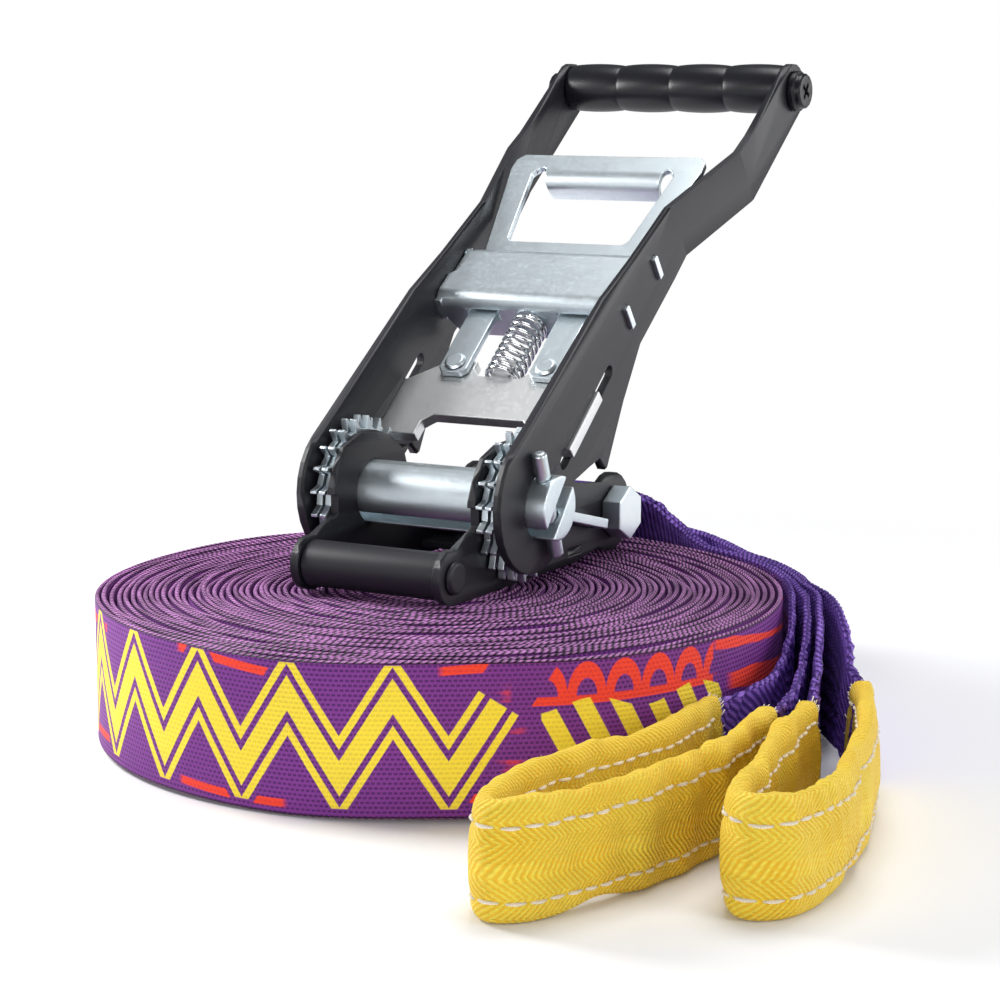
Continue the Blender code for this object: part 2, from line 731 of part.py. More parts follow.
def floor_tab_hole():
    """Hole in a frame plate for the floor plate's tab."""
    middle, level = FLOOR_FRONT + FLOOR_LONG / 2, floor_level()
    long, high = FLOOR_TAB / 2 + FIT, FLOOR_THICK / 2 + FIT
    return [(middle - long, level - high), (middle + long, level - high),
            (middle + long, level + high), (middle - long, level + high)]


def floor_plate(hub):
    """The plate that holds the frame's sides apart, with a tab through each, and the leaf spring on it."""
    level = floor_level()
    inner = FRAME_HALF - FIT
    front, back = FLOOR_FRONT, FLOOR_FRONT + FLOOR_LONG
    middle, tab = (front + back) / 2, FLOOR_TAB / 2
    half = [(inner, front), (inner, middle - tab), (FRAME_OUT, middle - tab), (FRAME_OUT, middle + tab),
            (inner, middle + tab), (inner, back)]
    outline = half + [(-x, y) for x, y in reversed(half)]
    plate = add("frame_floor", plate_mesh([outline], FLOOR_THICK), hub, "black_coat")
    plate.location = (0, 0, level)

    top = level + FLOOR_THICK / 2 + FIT + LEAF_THICK / 2
    bar_back = lock_place(LOCK_BAR_BACK)
    touch = LOCK_BAR_BACK + LEAF_THICK / 2 + 2 * FIT
    rise = bar_back[1] - top
    leaf = [(front + LEAF_SEAT, top), (touch - LEAF_TURN, top), (touch + LEAF_TURN, top + rise / 4),
            (touch + LEAF_TURN / 2, top + rise / 2), (touch, top + rise)]
    outline = band_outline(flowing(leaf, 2), LEAF_THICK)
    side_plate("lock_spring", [outline], LEAF_WIDE, 0, hub, "spring_steel")


def strap_eye(hub, lobe):
    """The strap's sewn eye round the anchor bolt's sleeve."""
    wrap = BOLT_RADIUS + 2 * FIT + SLEEVE_WALL + WEB_THICK / 2
    end = strap_places()[0]
    back = end[1] - SPINDLE_Y - 2 * FIT
    lift = end[2] - SPINDLE_Z
    apart = WEB_THICK / 2 + FIT
    ring = arc(lobe, wrap, 65, 295, 12)
    near = back - EYE_SEAM
    route = [(back, lift + apart), (near, lift + apart), *ring, (near, lift - apart), (back, lift - apart)]
    side_plate("strap_eye", [band_outline(route, WEB_THICK)], EYE_WIDE, 0, hub, "purple_webbing")


def half_disc(side):
    """Cross-section of one half of the split spindle."""
    offset = SLOT_WIDTH / 2
    reach = math.degrees(math.acos(offset / SPINDLE_RADIUS))
    lean = math.degrees(SLOT_ANGLE) + 90 * side
    return arc((0, 0), SPINDLE_RADIUS, lean - reach, lean + reach, 14)


def wheel_outline():
    """Edge of a ratchet wheel with its saw teeth."""
    edge = []
    for tooth in range(WHEEL_TEETH):
        for turn, high in TOOTH_SHARES:
            angle = 2 * math.pi * (tooth + turn) / WHEEL_TEETH + WHEEL_PHASE
            radius = WHEEL_ROOT + (WHEEL_TIP - WHEEL_ROOT) * high
            edge.append((radius * math.cos(angle), radius * math.sin(angle)))
    return edge


def spindle(hub):
    """The split spindle, two ratchet wheels on each side with a spacer and a washer, and its pins."""
    axis = empty("spindle_axis", hub)
    reach = HANDLE_OUT + SHAFT_OUT
    pin_along = HANDLE_OUT + PIN_OUT
    for side, name in ((1, "spindle_half_upper"), (-1, "spindle_half_lower")):
        half = side_plate(name, [half_disc(side)], 2 * reach, 0, axis, "zinc")
        for end in (-1, 1):
            hole = cylinder(PIN_RADIUS + FIT, 4 * SPINDLE_RADIUS)
            boolean(half, cutter(hole, axis, (end * pin_along, 0, 0), (PIN_ANGLE - math.pi / 2, 0, 0)))
    wheel = wheel_outline()
    bore = circle((0, 0), SPINDLE_RADIUS + SHAFT_FIT)
    for side, hand in ((-1, "left"), (1, "right")):
        inner = FRAME_OUT + 2 * FIT + WHEEL_THICK / 2
        outer = inner + WHEEL_THICK + WHEEL_SPACE
        for name, along in (("inner", inner), ("outer", outer)):
            name = "ratchet_wheel_%s_%s" % (hand, name)
            side_plate(name, [wheel, bore], WHEEL_THICK, side * along, axis, "zinc")
        room = HANDLE_HALF - (outer + WHEEL_THICK / 2) - 2 * FIT
        spacer = outer + WHEEL_THICK / 2 + FIT + room / 2
        ring = [circle((0, 0), WASHER_RADIUS), bore]
        side_plate("wheel_washer_" + hand, ring, room, side * spacer, axis, "zinc")
        between = (inner + outer) / 2
        side_plate("wheel_spacer_" + hand, ring, WHEEL_SPACE - 2 * FIT, side * between, axis, "zinc")
        pin = add("spindle_pin_" + hand, cylinder(PIN_RADIUS, PIN_TOP + PIN_FOOT), axis, "zinc")
        pin.rotation_euler = (PIN_ANGLE - math.pi / 2, 0, 0)
        shift = (PIN_TOP - PIN_FOOT) / 2
        pin.location = (side * pin_along, shift * math.cos(PIN_ANGLE), shift * math.sin(PIN_ANGLE))
        round_edges(pin, PIN_RADIUS / 3, 1)


def lock_pawl(hub):
    """The pawl that holds the wheels: a bar through the frame's slots with a finger beside each plate."""
    start = lock_place(0)
    slide = empty("lock_slide", hub, (0, *start), (LOCK_ANGLE, 0, 0))
    along = 1 / math.cos(LOCK_ANGLE)
    tip = WHEEL_TIP + PAWL_CLEAR - start[1] * math.sin(LOCK_ANGLE)
    front, back = LOCK_BAR_FRONT * along, LOCK_BAR_BACK * along
    near, far = FRAME_OUT + FIT, FRAME_OUT + FIT + LOCK_FINGER
    reach = LOCK_REACH * along
    half = [(near, front), (near, tip), (far, tip), (far, reach), (near, reach), (near, back)]
    outline = half + [(-x, y) for x, y in reversed(half)]
    add("lock_pawl", plate_mesh([outline], LOCK_THICK), slide, "zinc")


def arm_outline():
    """Side of the handle: disc round the spindle, long arm and round end at the grip."""
    front = [(a * HANDLE_LENGTH, b * HANDLE_LENGTH) for a, b in ARM_FRONT_SHARES]
    back = [(a * HANDLE_LENGTH, b * HANDLE_LENGTH) for a, b in ARM_BACK_SHARES]
    end = arc((HANDLE_LENGTH, -GRIP_DROP), ARM_END, 80, -80, 8)
    disc = arc((-DISC_FRONT, DISC_RISE), HANDLE_DISC, -36, -270, 18)
    return front + end + back + disc


def joggle(target, start, end, offset):
    """Bend a side plate outwards between two lines across its arm."""
    mesh = target.data
    sheet = bmesh.new()
    sheet.from_mesh(mesh)
    for line in (start, end):
        geometry = sheet.verts[:] + sheet.edges[:] + sheet.faces[:]
        bmesh.ops.bisect_plane(sheet, geom=geometry, dist=SNAP, plane_co=(line, 0, 0), plane_no=(1, 0, 0))
    for vertex in sheet.verts:
        share = max(0, min(1, (vertex.co.x - start) / (end - start)))
        vertex.co.z += offset * share
    sheet.to_mesh(mesh)
    sheet.free()


def pawl_slot_place(along):
    """A place on the drive pawl's sliding line in the handle, given its distance from the first end."""
    return (PAWL_START + (along - PAWL_START) * math.cos(PAWL_TILT),
            -PAWL_DROP + (along - PAWL_START) * math.sin(PAWL_TILT))


def handle(axis):
    """The two arms with their slots and tab holes, the grip, its rod and its end screws."""
    outline = arm_outline()
    slot_end = pawl_slot_place(SLOT_END - PAWL_THICK / 2)
    pawl_slot = slot(pawl_slot_place(SLOT_START), slot_end, PAWL_THICK + 2 * SLOT_SIDE)
    grip_hole = circle((HANDLE_LENGTH, -GRIP_DROP), ROD_RADIUS + FIT, SMALL_SIDES)
    holes = [circle((0, 0), SPINDLE_RADIUS + SHAFT_FIT), pawl_slot, grip_hole, *bridge_tab_holes()]
    for side, name in ((-1, "handle_plate_left"), (1, "handle_plate_right")):
        middle = side * (HANDLE_HALF + HANDLE_THICK / 2)
        plate = side_plate(name, [outline, *holes], HANDLE_THICK, middle, axis, "black_coat")
        joggle(plate, FLARE_START, FLARE_END, side * FLARE)

    grip = (0, HANDLE_LENGTH, -GRIP_DROP)
    reach = HANDLE_HALF + FLARE - FIT
    turned("handle_grip", grip_profile(reach), axis, "black_grip", grip)
    outside = HANDLE_OUT + FLARE
    rod = [(-outside, 0), (-outside, ROD_RADIUS), (outside, ROD_RADIUS), (outside, 0)]
    turned("grip_rod", rod, axis, "satin_steel", grip, SMALL_SIDES)
    for side, name in ((-1, "grip_screw_left"), (1, "grip_screw_right")):
        grip_screw(name, side, outside + FIT, grip, axis)


def grip_profile(reach):
    """Turned profile of the grip: finger lobes outside, a bore inside."""
    steps = LOBE_STEPS * GRIP_LOBES
    outer = []
    for i in range(steps + 1):
        share = i / steps
        wave = abs(math.sin(math.pi * GRIP_LOBES * share)) ** LOBE_FLATNESS
        outer.append((-reach + 2 * reach * share, GRIP_RADIUS - GRIP_GROOVE * (1 - wave)))
    bore = ROD_RADIUS + FIT
    return [(-reach, bore), *outer, (reach, bore)]


def grip_screw(name, side, start, grip, axis):
    """The round cap that closes the grip's rod outside an arm, with its cross recess."""
    profile = [(0, 0), (0, CAP_FLANGE), (CAP_FLANGE_HIGH, CAP_FLANGE), (CAP_FLANGE_HIGH, CAP_RADIUS),
               (CAP_HIGH - CROSS_WIDE / 2, CAP_RADIUS), (CAP_HIGH, CAP_RADIUS - CROSS_WIDE / 2),
               (CAP_HIGH, 0)]
    if side < 0:
        profile = [(-along, radius) for along, radius in reversed(profile)]
    cap = turned(name, profile, axis, "black_grip", (side * start, grip[1], grip[2]), SMALL_SIDES)
    top = (side * (start + CAP_HIGH), grip[1], grip[2])
    arm = CAP_RADIUS
    for size in ((2 * CROSS_DEEP, CROSS_WIDE, arm), (2 * CROSS_DEEP, arm, CROSS_WIDE)):
        boolean(cap, cutter(box(size), axis, top, (CROSS_TURN, 0, 0)))


def bridge_tab_holes():
    """Holes in an arm for the two tabs of the bridge."""
    holes = []
    for along in bridge_flanges():
        near, far = along - BRIDGE_THICK / 2 - FIT, along + BRIDGE_THICK / 2 + FIT
        low, high = TAB_LOW - FIT, TAB_LOW + TAB_LONG + FIT
        holes.append([(near, low), (far, low), (far, high), (near, high)])
    return holes


def bridge_flanges():
    """Middle of the bridge's front and back flange along the handle."""
    return BRIDGE_FRONT + BRIDGE_THICK / 2, BRIDGE_FRONT + BRIDGE_LONG - BRIDGE_THICK / 2


def lever_level(along):
    """Middle height of the release lever in the handle at a distance from the spindle."""
    rise = PAWL_THICK / 2 + FIT + LEVER_THICK / 2
    return -PAWL_DROP + (along - PAWL_START) * math.tan(PAWL_TILT) + rise / math.cos(PAWL_TILT)


def bridge(axis):
    """The pressed channel between the arms: it carries the spring and guides the lever."""
    half = HANDLE_HALF - FIT
    front, back = BRIDGE_FRONT, BRIDGE_FRONT + BRIDGE_LONG
    top = BRIDGE_RISE + BRIDGE_THICK / 2
    bend = BRIDGE_BEND
    near_bend, far_bend = (front + bend, top - bend), (back - bend, top - bend)
    outer = arc(near_bend, bend, 180, 90, 4) + arc(far_bend, bend, 90, 0, 4)
    small = bend - BRIDGE_THICK
    inner = arc(far_bend, small, 0, 90, 3) + arc(near_bend, small, 90, 180, 3)
    foot, back_foot = top - BRIDGE_DEEP, top - BRIDGE_BACK_DEEP
    profile = [(front, foot), *outer, (back, back_foot), (back - BRIDGE_THICK, back_foot), *inner,
               (front + BRIDGE_THICK, foot)]
    piece = side_plate("bridge_plate", [profile], 2 * half, 0, axis, "zinc")

    past, centre = half + OVERRUN, (front + back) / 2
    taper = [(past, front - OVERRUN), (past, back + OVERRUN), (BRIDGE_BACK_SHARE * half, back + OVERRUN),
             (BRIDGE_MIDDLE_SHARE * half, centre), (half, centre - OVERRUN / 2), (half, front - OVERRUN)]
    chamfer_inner, chamfer_outer = (foot + share * BRIDGE_DEEP for share in CHAMFER_RISE_SHARES)
    for side in (-1, 1):
        corner = plate_mesh([[(side * x, y) for x, y in taper]], OVERRUN)
        boolean(piece, cutter(corner, axis, (0, 0, top)))
        low = [(side * CHAMFER_FOOT_SHARE * half, foot - OVERRUN), (side * past, foot - OVERRUN),
               (side * past, chamfer_outer), (side * half, chamfer_inner)]
        chamfer = plate_mesh([low], 2 * OVERRUN)
        boolean(piece, cutter(chamfer, axis, (0, front, 0), (math.pi / 2, 0, 0)))

    near_flange, far_flange = bridge_flanges()
    strap_in, strap_out = STRAP_CENTRE - STRAP_WIDE / 2, STRAP_CENTRE + STRAP_WIDE / 2
    for along, inner_side, outer_side in ((near_flange, strap_in, strap_out),
                                          (far_flange, 0, REAR_OPENING_SHARE * LEVER_HALF)):
        level = lever_level(along)
        high = LEVER_THICK + 6 * BRIDGE_GAP
        near, far = inner_side - BRIDGE_GAP * 2, outer_side + BRIDGE_GAP * 2
        for side in (-1, 1):
            opening = box((far - near, 2 * BRIDGE_THICK, high), (side * (near + far) / 2, along, level))
            boolean(piece, cutter(opening, axis))
    reach, root = HANDLE_OUT + TAB_OUT, half - OVERRUN / 2
    for along in (near_flange, far_flange):
        for side in (-1, 1):
            middle = (side * (reach + root) / 2, along, TAB_LOW + TAB_LONG / 2)
            boolean(piece, cutter(box((reach - root, BRIDGE_THICK, TAB_LONG), middle), axis), "UNION")


def drive_pawl(slide):
    """The flat pawl: ears in the arms' slots, two legs to the wheels, a notch and tongue for the spring."""
    half = PAWL_HALF
    top = PAWL_LENGTH
    ear = HANDLE_OUT + EAR_OUT
    root = top - NOTCH_DEEP
    right = [(TONGUE_HALF, root), (TONGUE_HALF, root + TONGUE_LONG - TONGUE_HALF / 2),
             (TONGUE_HALF / 2, root + TONGUE_LONG)]
    tongue = [(-x, y) for x, y in right] + list(reversed(right))
    body = [(NOTCH_HALF - NOTCH_DEEP / 2, root), (NOTCH_HALF, top - NOTCH_DEEP / 2), (NOTCH_HALF, top),
            (half - 2 * NOTCH_DEEP, top), (half, EAR_LENGTH), (ear, EAR_LENGTH), (ear, -EAR_FOOT),
            (half, -EAR_FOOT), (half, 0), (LEG_INNER, 0),
            (LEG_INNER, LEG_LENGTH - NOTCH_DEEP / 2), (LEG_INNER - NOTCH_DEEP / 2, LEG_LENGTH)]
    outline = tongue + body + [(-x, y) for x, y in reversed(body)]
    add("drive_pawl", plate_mesh([outline, *rivet_holes()], PAWL_THICK), slide, "satin_steel")


def rivet_holes():
    """Holes for the two rivets that join the pawl and its lever."""
    return [circle((side * STRAP_CENTRE, RIVET_BACK), RIVET_RADIUS + FIT, SMALL_SIDES) for side in (-1, 1)]


def release_lever(slide):
    """The pull lever: two straps to the pawl, a window, and a curled lip for the fingers."""
    level = PAWL_THICK / 2 + FIT + LEVER_THICK / 2
    start = LEVER_START
    edge = [(LEVER_HALF * b, start + LEVER_LENGTH * a) for a, b in LEVER_EDGE_SHARES]
    inner = STRAP_CENTRE - STRAP_WIDE / 2
    clip = STRAP_WIDE / 6
    crotch = start + LEVER_LENGTH * CROTCH_SHARE
    half = [(inner, crotch), (inner, start + clip), (inner + clip, start), *edge]
    outline = half + [(-x, y) for x, y in reversed(half)]
    top = start + LEVER_LENGTH - LEVER_BAR
    foot = top - WINDOW_LONG
    wide, reach = LEVER_HALF, LIP_BEND * math.pi / 2 + LIP_LONG
    low_in, low_out = (share * wide for share in WINDOW_FOOT_SHARES)
    high_out, high_in = (share * wide for share in WINDOW_TOP_SHARES)
    relief = arc((LIP_HALF + LIP_RELIEF, top), LIP_RELIEF, 0, 180, 6)
    window_half = [(low_in, foot), (low_out, foot + clip), (high_out, top - clip), (high_in, top), *relief,
                   (LIP_HALF * LIP_TIP_SHARE, top - reach)]
    window = window_half + [(-x, y) for x, y in reversed(window_half)]
    lever = add("release_lever", plate_mesh([outline, window, *rivet_holes()], LEVER_THICK), slide, "zinc")
    lever.location = (0, 0, level)
    curl(lever, top, LIP_HALF + FIT, reach, LIP_BEND)


def curl(target, line, half, reach, radius):
    """Fold the tongue that lies in front of a line down through a right angle."""
    sheet = bmesh.new()
    sheet.from_mesh(target.data)
    quarter = radius * math.pi / 2
    for step in range(BEND_STEPS + 1):
        geometry = sheet.verts[:] + sheet.edges[:] + sheet.faces[:]
        place = (0, line - quarter * step / BEND_STEPS, 0)
        bmesh.ops.bisect_plane(sheet, geom=geometry, dist=SNAP, plane_co=place, plane_no=(0, 1, 0))
    for vertex in sheet.verts:
        along = line - vertex.co.y
        if abs(vertex.co.x) < half and 0 < along < reach + radius:
            angle = min(along, quarter) / radius
            rest = max(0, along - quarter)
            high = radius + vertex.co.z
            vertex.co.y = line - high * math.sin(angle)
            vertex.co.z = high * math.cos(angle) - radius - rest
    sheet.to_mesh(target.data)
    sheet.free()


def pawl_rivets(slide):
    """Rivets that hold the lever's straps on the pawl."""
    low, high = -PAWL_THICK / 2, PAWL_THICK / 2 + FIT + LEVER_THICK
    for side, name in ((-1, "pawl_rivet_left"), (1, "pawl_rivet_right")):
        under, over = low - FIT, high + FIT
        profile = [(low - RIVET_HIGH, 0), (low - RIVET_HIGH, DOME_SHARE * RIVET_HEAD), (under, RIVET_HEAD),
                   (under, RIVET_RADIUS), (over, RIVET_RADIUS), (over, RIVET_HEAD),
                   (high + RIVET_HIGH, DOME_SHARE * RIVET_HEAD), (high + RIVET_HIGH, 0)]
        rivet = turned(name, profile, slide, "zinc", (side * STRAP_CENTRE, RIVET_BACK, 0), SMALL_SIDES)
        rivet.rotation_euler = (0, math.pi, 0)


def drive_spring(slide):
    """The compression spring between the pawl's notch and the bridge, wound round the pawl's tongue."""
    foot = PAWL_LENGTH - NOTCH_DEEP + WIRE_RADIUS + FIT
    top = (BRIDGE_FRONT - PAWL_START) - WIRE_RADIUS - 2 * FIT
    count = CURLS * CURL_POINTS
    curve = bpy.data.curves.new("drive_spring", "CURVE")
    curve.dimensions = "3D"
    curve.bevel_depth = WIRE_RADIUS
    curve.bevel_resolution = 1
    curve.use_fill_caps = True
    spline = curve.splines.new("POLY")
    spline.points.add(count)
    for i in range(count + 1):
        angle = 2 * math.pi * i / CURL_POINTS
        along = foot + (top - foot) * i / count
        spline.points[i].co = (SPRING_RADIUS * math.cos(angle), along, SPRING_RADIUS * math.sin(angle), 1)
    add("drive_spring", curve, slide, "spring_steel")
    print("least gap between curls: %.2f mm" % (1000 * ((top - foot) / CURLS - 2 * WIRE_RADIUS)))


def centre_on_ground(root):
    """Move the kit so that the origin lies under the middle of its whole box."""
    bpy.context.view_layer.update()
    graph = bpy.context.evaluated_depsgraph_get()
    corners = []
    for piece in KIT.objects:
        if piece.type in ("MESH", "CURVE"):
            seen = piece.evaluated_get(graph)
            mesh = seen.to_mesh()
            corners += [seen.matrix_world @ vertex.co for vertex in mesh.vertices]
            seen.to_mesh_clear()
    low = [min(corner[i] for corner in corners) for i in range(3)]
    high = [max(corner[i] for corner in corners) for i in range(3)]
    root.location = (-(low[0] + high[0]) / 2, -(low[1] + high[1]) / 2, -low[2])
    print("size: " + " x ".join("%.1f" % (1000 * (b - a)) for a, b in zip(low, high)) + " mm")


def build():
    """Make the whole kit."""
    make_materials()
    root = empty("slackline_origin", None)
    webbing(root)
    hub = empty("ratchet_origin", root, (RATCHET_X, SPINDLE_Y, SPINDLE_Z))
    frame(hub)
    spindle(hub)
    lock_pawl(hub)
    axis = empty("handle_axis", hub, (0, 0, 0), (HANDLE_TILT, 0, 0))
    handle(axis)
    bridge(axis)
    slide = empty("pawl_slide", axis, (0, PAWL_START, -PAWL_DROP), (PAWL_TILT, 0, 0))
    drive_pawl(slide)
    release_lever(slide)
    pawl_rivets(slide)
    drive_spring(slide)
    centre_on_ground(root)


clear_scene()
KIT = new_collection("slackline")
CUTTERS = new_collection("cutters")
build()
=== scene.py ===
"""Looks of the slackline kit: webbing coil, straps, sewn loops and the long-lever ratchet.

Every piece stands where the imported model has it. The soft goods are modelled anew on the same
routes, and the metal pieces take the model's own forms with worked, rounded edges. Sizes are in
metres throughout.
"""

import json
import logging
import math
import random
from collections.abc import Callable
from dataclasses import dataclass, field
from enum import Enum

import bmesh
import bpy
import numpy as np
from mathutils import Matrix, Vector

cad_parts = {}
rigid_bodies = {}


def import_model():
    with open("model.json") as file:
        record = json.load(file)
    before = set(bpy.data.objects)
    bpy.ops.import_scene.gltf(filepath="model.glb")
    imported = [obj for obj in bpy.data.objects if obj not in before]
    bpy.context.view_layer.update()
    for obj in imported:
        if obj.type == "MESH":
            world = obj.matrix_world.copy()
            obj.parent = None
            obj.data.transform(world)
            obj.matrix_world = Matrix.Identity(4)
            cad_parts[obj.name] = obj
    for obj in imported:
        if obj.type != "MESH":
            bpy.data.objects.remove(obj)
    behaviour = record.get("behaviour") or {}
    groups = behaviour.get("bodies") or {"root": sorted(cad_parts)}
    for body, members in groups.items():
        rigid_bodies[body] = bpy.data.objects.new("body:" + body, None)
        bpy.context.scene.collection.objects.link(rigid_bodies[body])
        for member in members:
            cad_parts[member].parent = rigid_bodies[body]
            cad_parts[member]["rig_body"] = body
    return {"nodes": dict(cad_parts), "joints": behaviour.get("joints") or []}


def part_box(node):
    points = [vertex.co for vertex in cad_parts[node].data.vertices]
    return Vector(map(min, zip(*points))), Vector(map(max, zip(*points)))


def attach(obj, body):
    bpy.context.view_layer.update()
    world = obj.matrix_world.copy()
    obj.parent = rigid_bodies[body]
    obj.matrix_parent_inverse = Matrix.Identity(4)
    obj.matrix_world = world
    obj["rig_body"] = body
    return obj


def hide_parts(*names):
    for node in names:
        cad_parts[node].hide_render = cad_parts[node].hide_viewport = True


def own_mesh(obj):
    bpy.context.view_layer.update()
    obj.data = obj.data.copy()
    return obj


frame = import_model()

LOG = logging.getLogger("slackline")
TAU = 2 * math.pi
SPOT_UV = "place"
WHITE = (1.0, 1.0, 1.0)
BEVEL_SAMPLES = 6
SHARP_ANGLE = math.radians(34)
CREASE_ANGLE = math.radians(38)
WELD = 2e-6
SPAN_POINTS = 40

Colour = tuple[float, float, float]
Array = np.ndarray
Mesh = bpy.types.Mesh


# ---------------------------------------------------------------- materials: the working tools


def step_of(operation: str, turned: bool = False) -> Callable[..., "Signal"]:
    """A method that adds one step of arithmetic to a graph.

    Args:
        operation: the step, by Blender's name for it.
        turned: whether the other value comes first.

    Returns:
        The method.
    """
    def act(signal: "Signal", *others: "Value") -> "Signal":
        """The signal after this step."""
        values = (*others, signal) if turned else (signal, *others)
        return signal.graph.node("ShaderNodeMath", dict(enumerate(values)), operation=operation)

    return act


@dataclass(frozen=True, eq=False)
class Signal:
    """A value on its way through a graph, with the sums that the finishes use.

    Attributes:
        graph: the graph it belongs to.
        socket: the output socket that carries it.
    """

    graph: "Graph"
    socket: bpy.types.NodeSocket

    __add__ = step_of("ADD")
    __sub__ = step_of("SUBTRACT")
    __rsub__ = step_of("SUBTRACT", turned=True)
    __mul__ = step_of("MULTIPLY")
    __truediv__ = step_of("DIVIDE")
    sin = step_of("SINE")
    floor = step_of("FLOOR")
    fract = step_of("FRACT")
    size = step_of("ABSOLUTE")
    power = step_of("POWER")
    least = step_of("MINIMUM")
    most = step_of("MAXIMUM")

    def wave(self) -> "Signal":
        """Waves between 0 and 1, one for each whole step of the value."""
        return (self * TAU).sin() * 0.5 + 0.5

    def ramp(self, low: float, high: float) -> "Signal":
        """A soft step from 0 at low to 1 at high; low may be the larger of the two."""
        inputs = {0: self, 1: low, 2: high, 3: 0.0, 4: 1.0}
        return self.graph.node("ShaderNodeMapRange", inputs, interpolation_type="SMOOTHSTEP")

    def between(self, low: float, high: float, soft: float) -> "Signal":
        """1 between two values and 0 outside them, with soft steps just inside."""
        return self.ramp(low, low + soft) * self.ramp(high, high - soft)

    def stroke(self, half: float, soft: float) -> "Signal":
        """1 where the value is nearer to 0 than half a stroke's breadth, with soft edges outside."""
        return self.size().ramp(half + soft, half)


Value = Signal | float | tuple


class Graph:
    """The node graph of a material or of the surround."""

    def __init__(self, owner: bpy.types.Material | bpy.types.World) -> None:
        """Start an empty graph.

        Args:
            owner: what it belongs to.
        """
        owner.use_nodes = True
        self.owner = owner
        self.tree = owner.node_tree
        self.tree.nodes.clear()

    def put(self, value: Value, target: bpy.types.NodeSocket) -> None:
        """Give an input its value or its link."""
        if isinstance(value, Signal):
            self.tree.links.new(value.socket, target)
        elif isinstance(value, tuple) and target.type == "RGBA":
            target.default_value = (*value, 1.0)
        else:
            target.default_value = value

    def node(self, kind: str, inputs: dict | None = None, output: int | str = 0,
             **settings: object) -> Signal:
        """Make any node.

        Args:
            kind: the node's type.
            inputs: values or links by input name or number.
            output: name or number of the output that is wanted.
            settings: the node's own settings, which are set first.

        Returns:
            The chosen output.
        """
        made = self.tree.nodes.new(kind)
        for key, value in settings.items():
            setattr(made, key, value)
        for key, value in (inputs or {}).items():
            self.put(value, made.inputs[key])
        return Signal(self, made.outputs[output])

    def close(self, surface: Signal, kind: str = "ShaderNodeOutputMaterial") -> None:
        """End the graph with its output node."""
        self.put(surface, self.tree.nodes.new(kind).inputs["Surface"])

    def blend(self, share: Value, first: Value, second: Value) -> Signal:
        """Mix two colours."""
        return self.node("ShaderNodeMix", {0: share, 6: first, 7: second}, 2, data_type="RGBA")

    def point(self, x: Value, y: Value) -> Signal:
        """A flat place from two values."""
        return self.node("ShaderNodeCombineXYZ", {0: x, 1: y})

    def noise(self, place: Signal, scale: float, detail: float = 3.0) -> Signal:
        """Cloudy variation between 0 and 1."""
        inputs = {"Vector": place, "Scale": scale, "Detail": detail, "Roughness": 0.55}
        return self.node("ShaderNodeTexNoise", inputs)

    def tape_place(self) -> tuple[Signal, Signal]:
        """Place on a woven piece: metres along it and metres round its section."""
        along = self.node("ShaderNodeSeparateXYZ", {0: self.node("ShaderNodeUVMap", uv_map=SPOT_UV)})
        return along, Signal(self, along.socket.node.outputs[1])

    def body_place(self) -> Signal:
        return self.node("ShaderNodeTexCoord", output="Object")

    def rounded(self, radius: float) -> Signal:
        """The direction the surface would face if its edges were round."""
        return self.node("ShaderNodeBevel", {"Radius": radius}, samples=BEVEL_SAMPLES)

    def rim(self, reach: float) -> Signal:
        """How near a spot is to a sharp edge, up to a reach in metres."""
        pair = {0: self.rounded(reach), 1: self.node("ShaderNodeNewGeometry", output="Normal")}
        return self.node("ShaderNodeVectorMath", pair, "Value", operation="DOT_PRODUCT").ramp(0.995, 0.86)

    def relief(self, height: Signal, depth: float, radius: float = 0.0) -> Signal:
        """Surface relief from a height between 0 and 1.

        Args:
            height: the height.
            depth: its depth in metres.
            radius: radius that the piece's edges seem to have, in metres.

        Returns:
            The direction the surface faces.
        """
        inputs = {"Strength": 1.0, "Distance": depth, "Height": height}
        if radius:
            inputs["Normal"] = self.rounded(radius)
        return self.node("ShaderNodeBump", inputs)


# ---------------------------------------------------------------- finishes


@dataclass(frozen=True)
class Surface:
    """What all finishes have in common.

    Attributes:
        name: material name.
    """

    name: str

    def inputs(self, graph: Graph) -> dict[str, Value]:
        """Work out the surface's inputs.

        Args:
            graph: the graph that they are made in.

        Returns:
            The inputs by name.
        """
        raise NotImplementedError

    def material(self) -> bpy.types.Material:
        """The finish's material, made once."""
        made = bpy.data.materials.get(self.name)
        if made:
            return made
        graph = Graph(bpy.data.materials.new(self.name))
        graph.close(graph.node("ShaderNodeBsdfPrincipled", self.inputs(graph)))
        return graph.owner


def woven(u: Signal, v: Signal, along: float, across: float) -> Signal:
    """Height of a close weave with small hollows in staggered rows."""
    row = (v / across).floor()
    ahead = ((u / along + (row * 0.5).fract()).fract() - 0.5).size()
    beside = ((v / across).fract() - 0.5).size()
    return 1 - ahead.ramp(0.44, 0.22) * beside.ramp(0.36, 0.10)


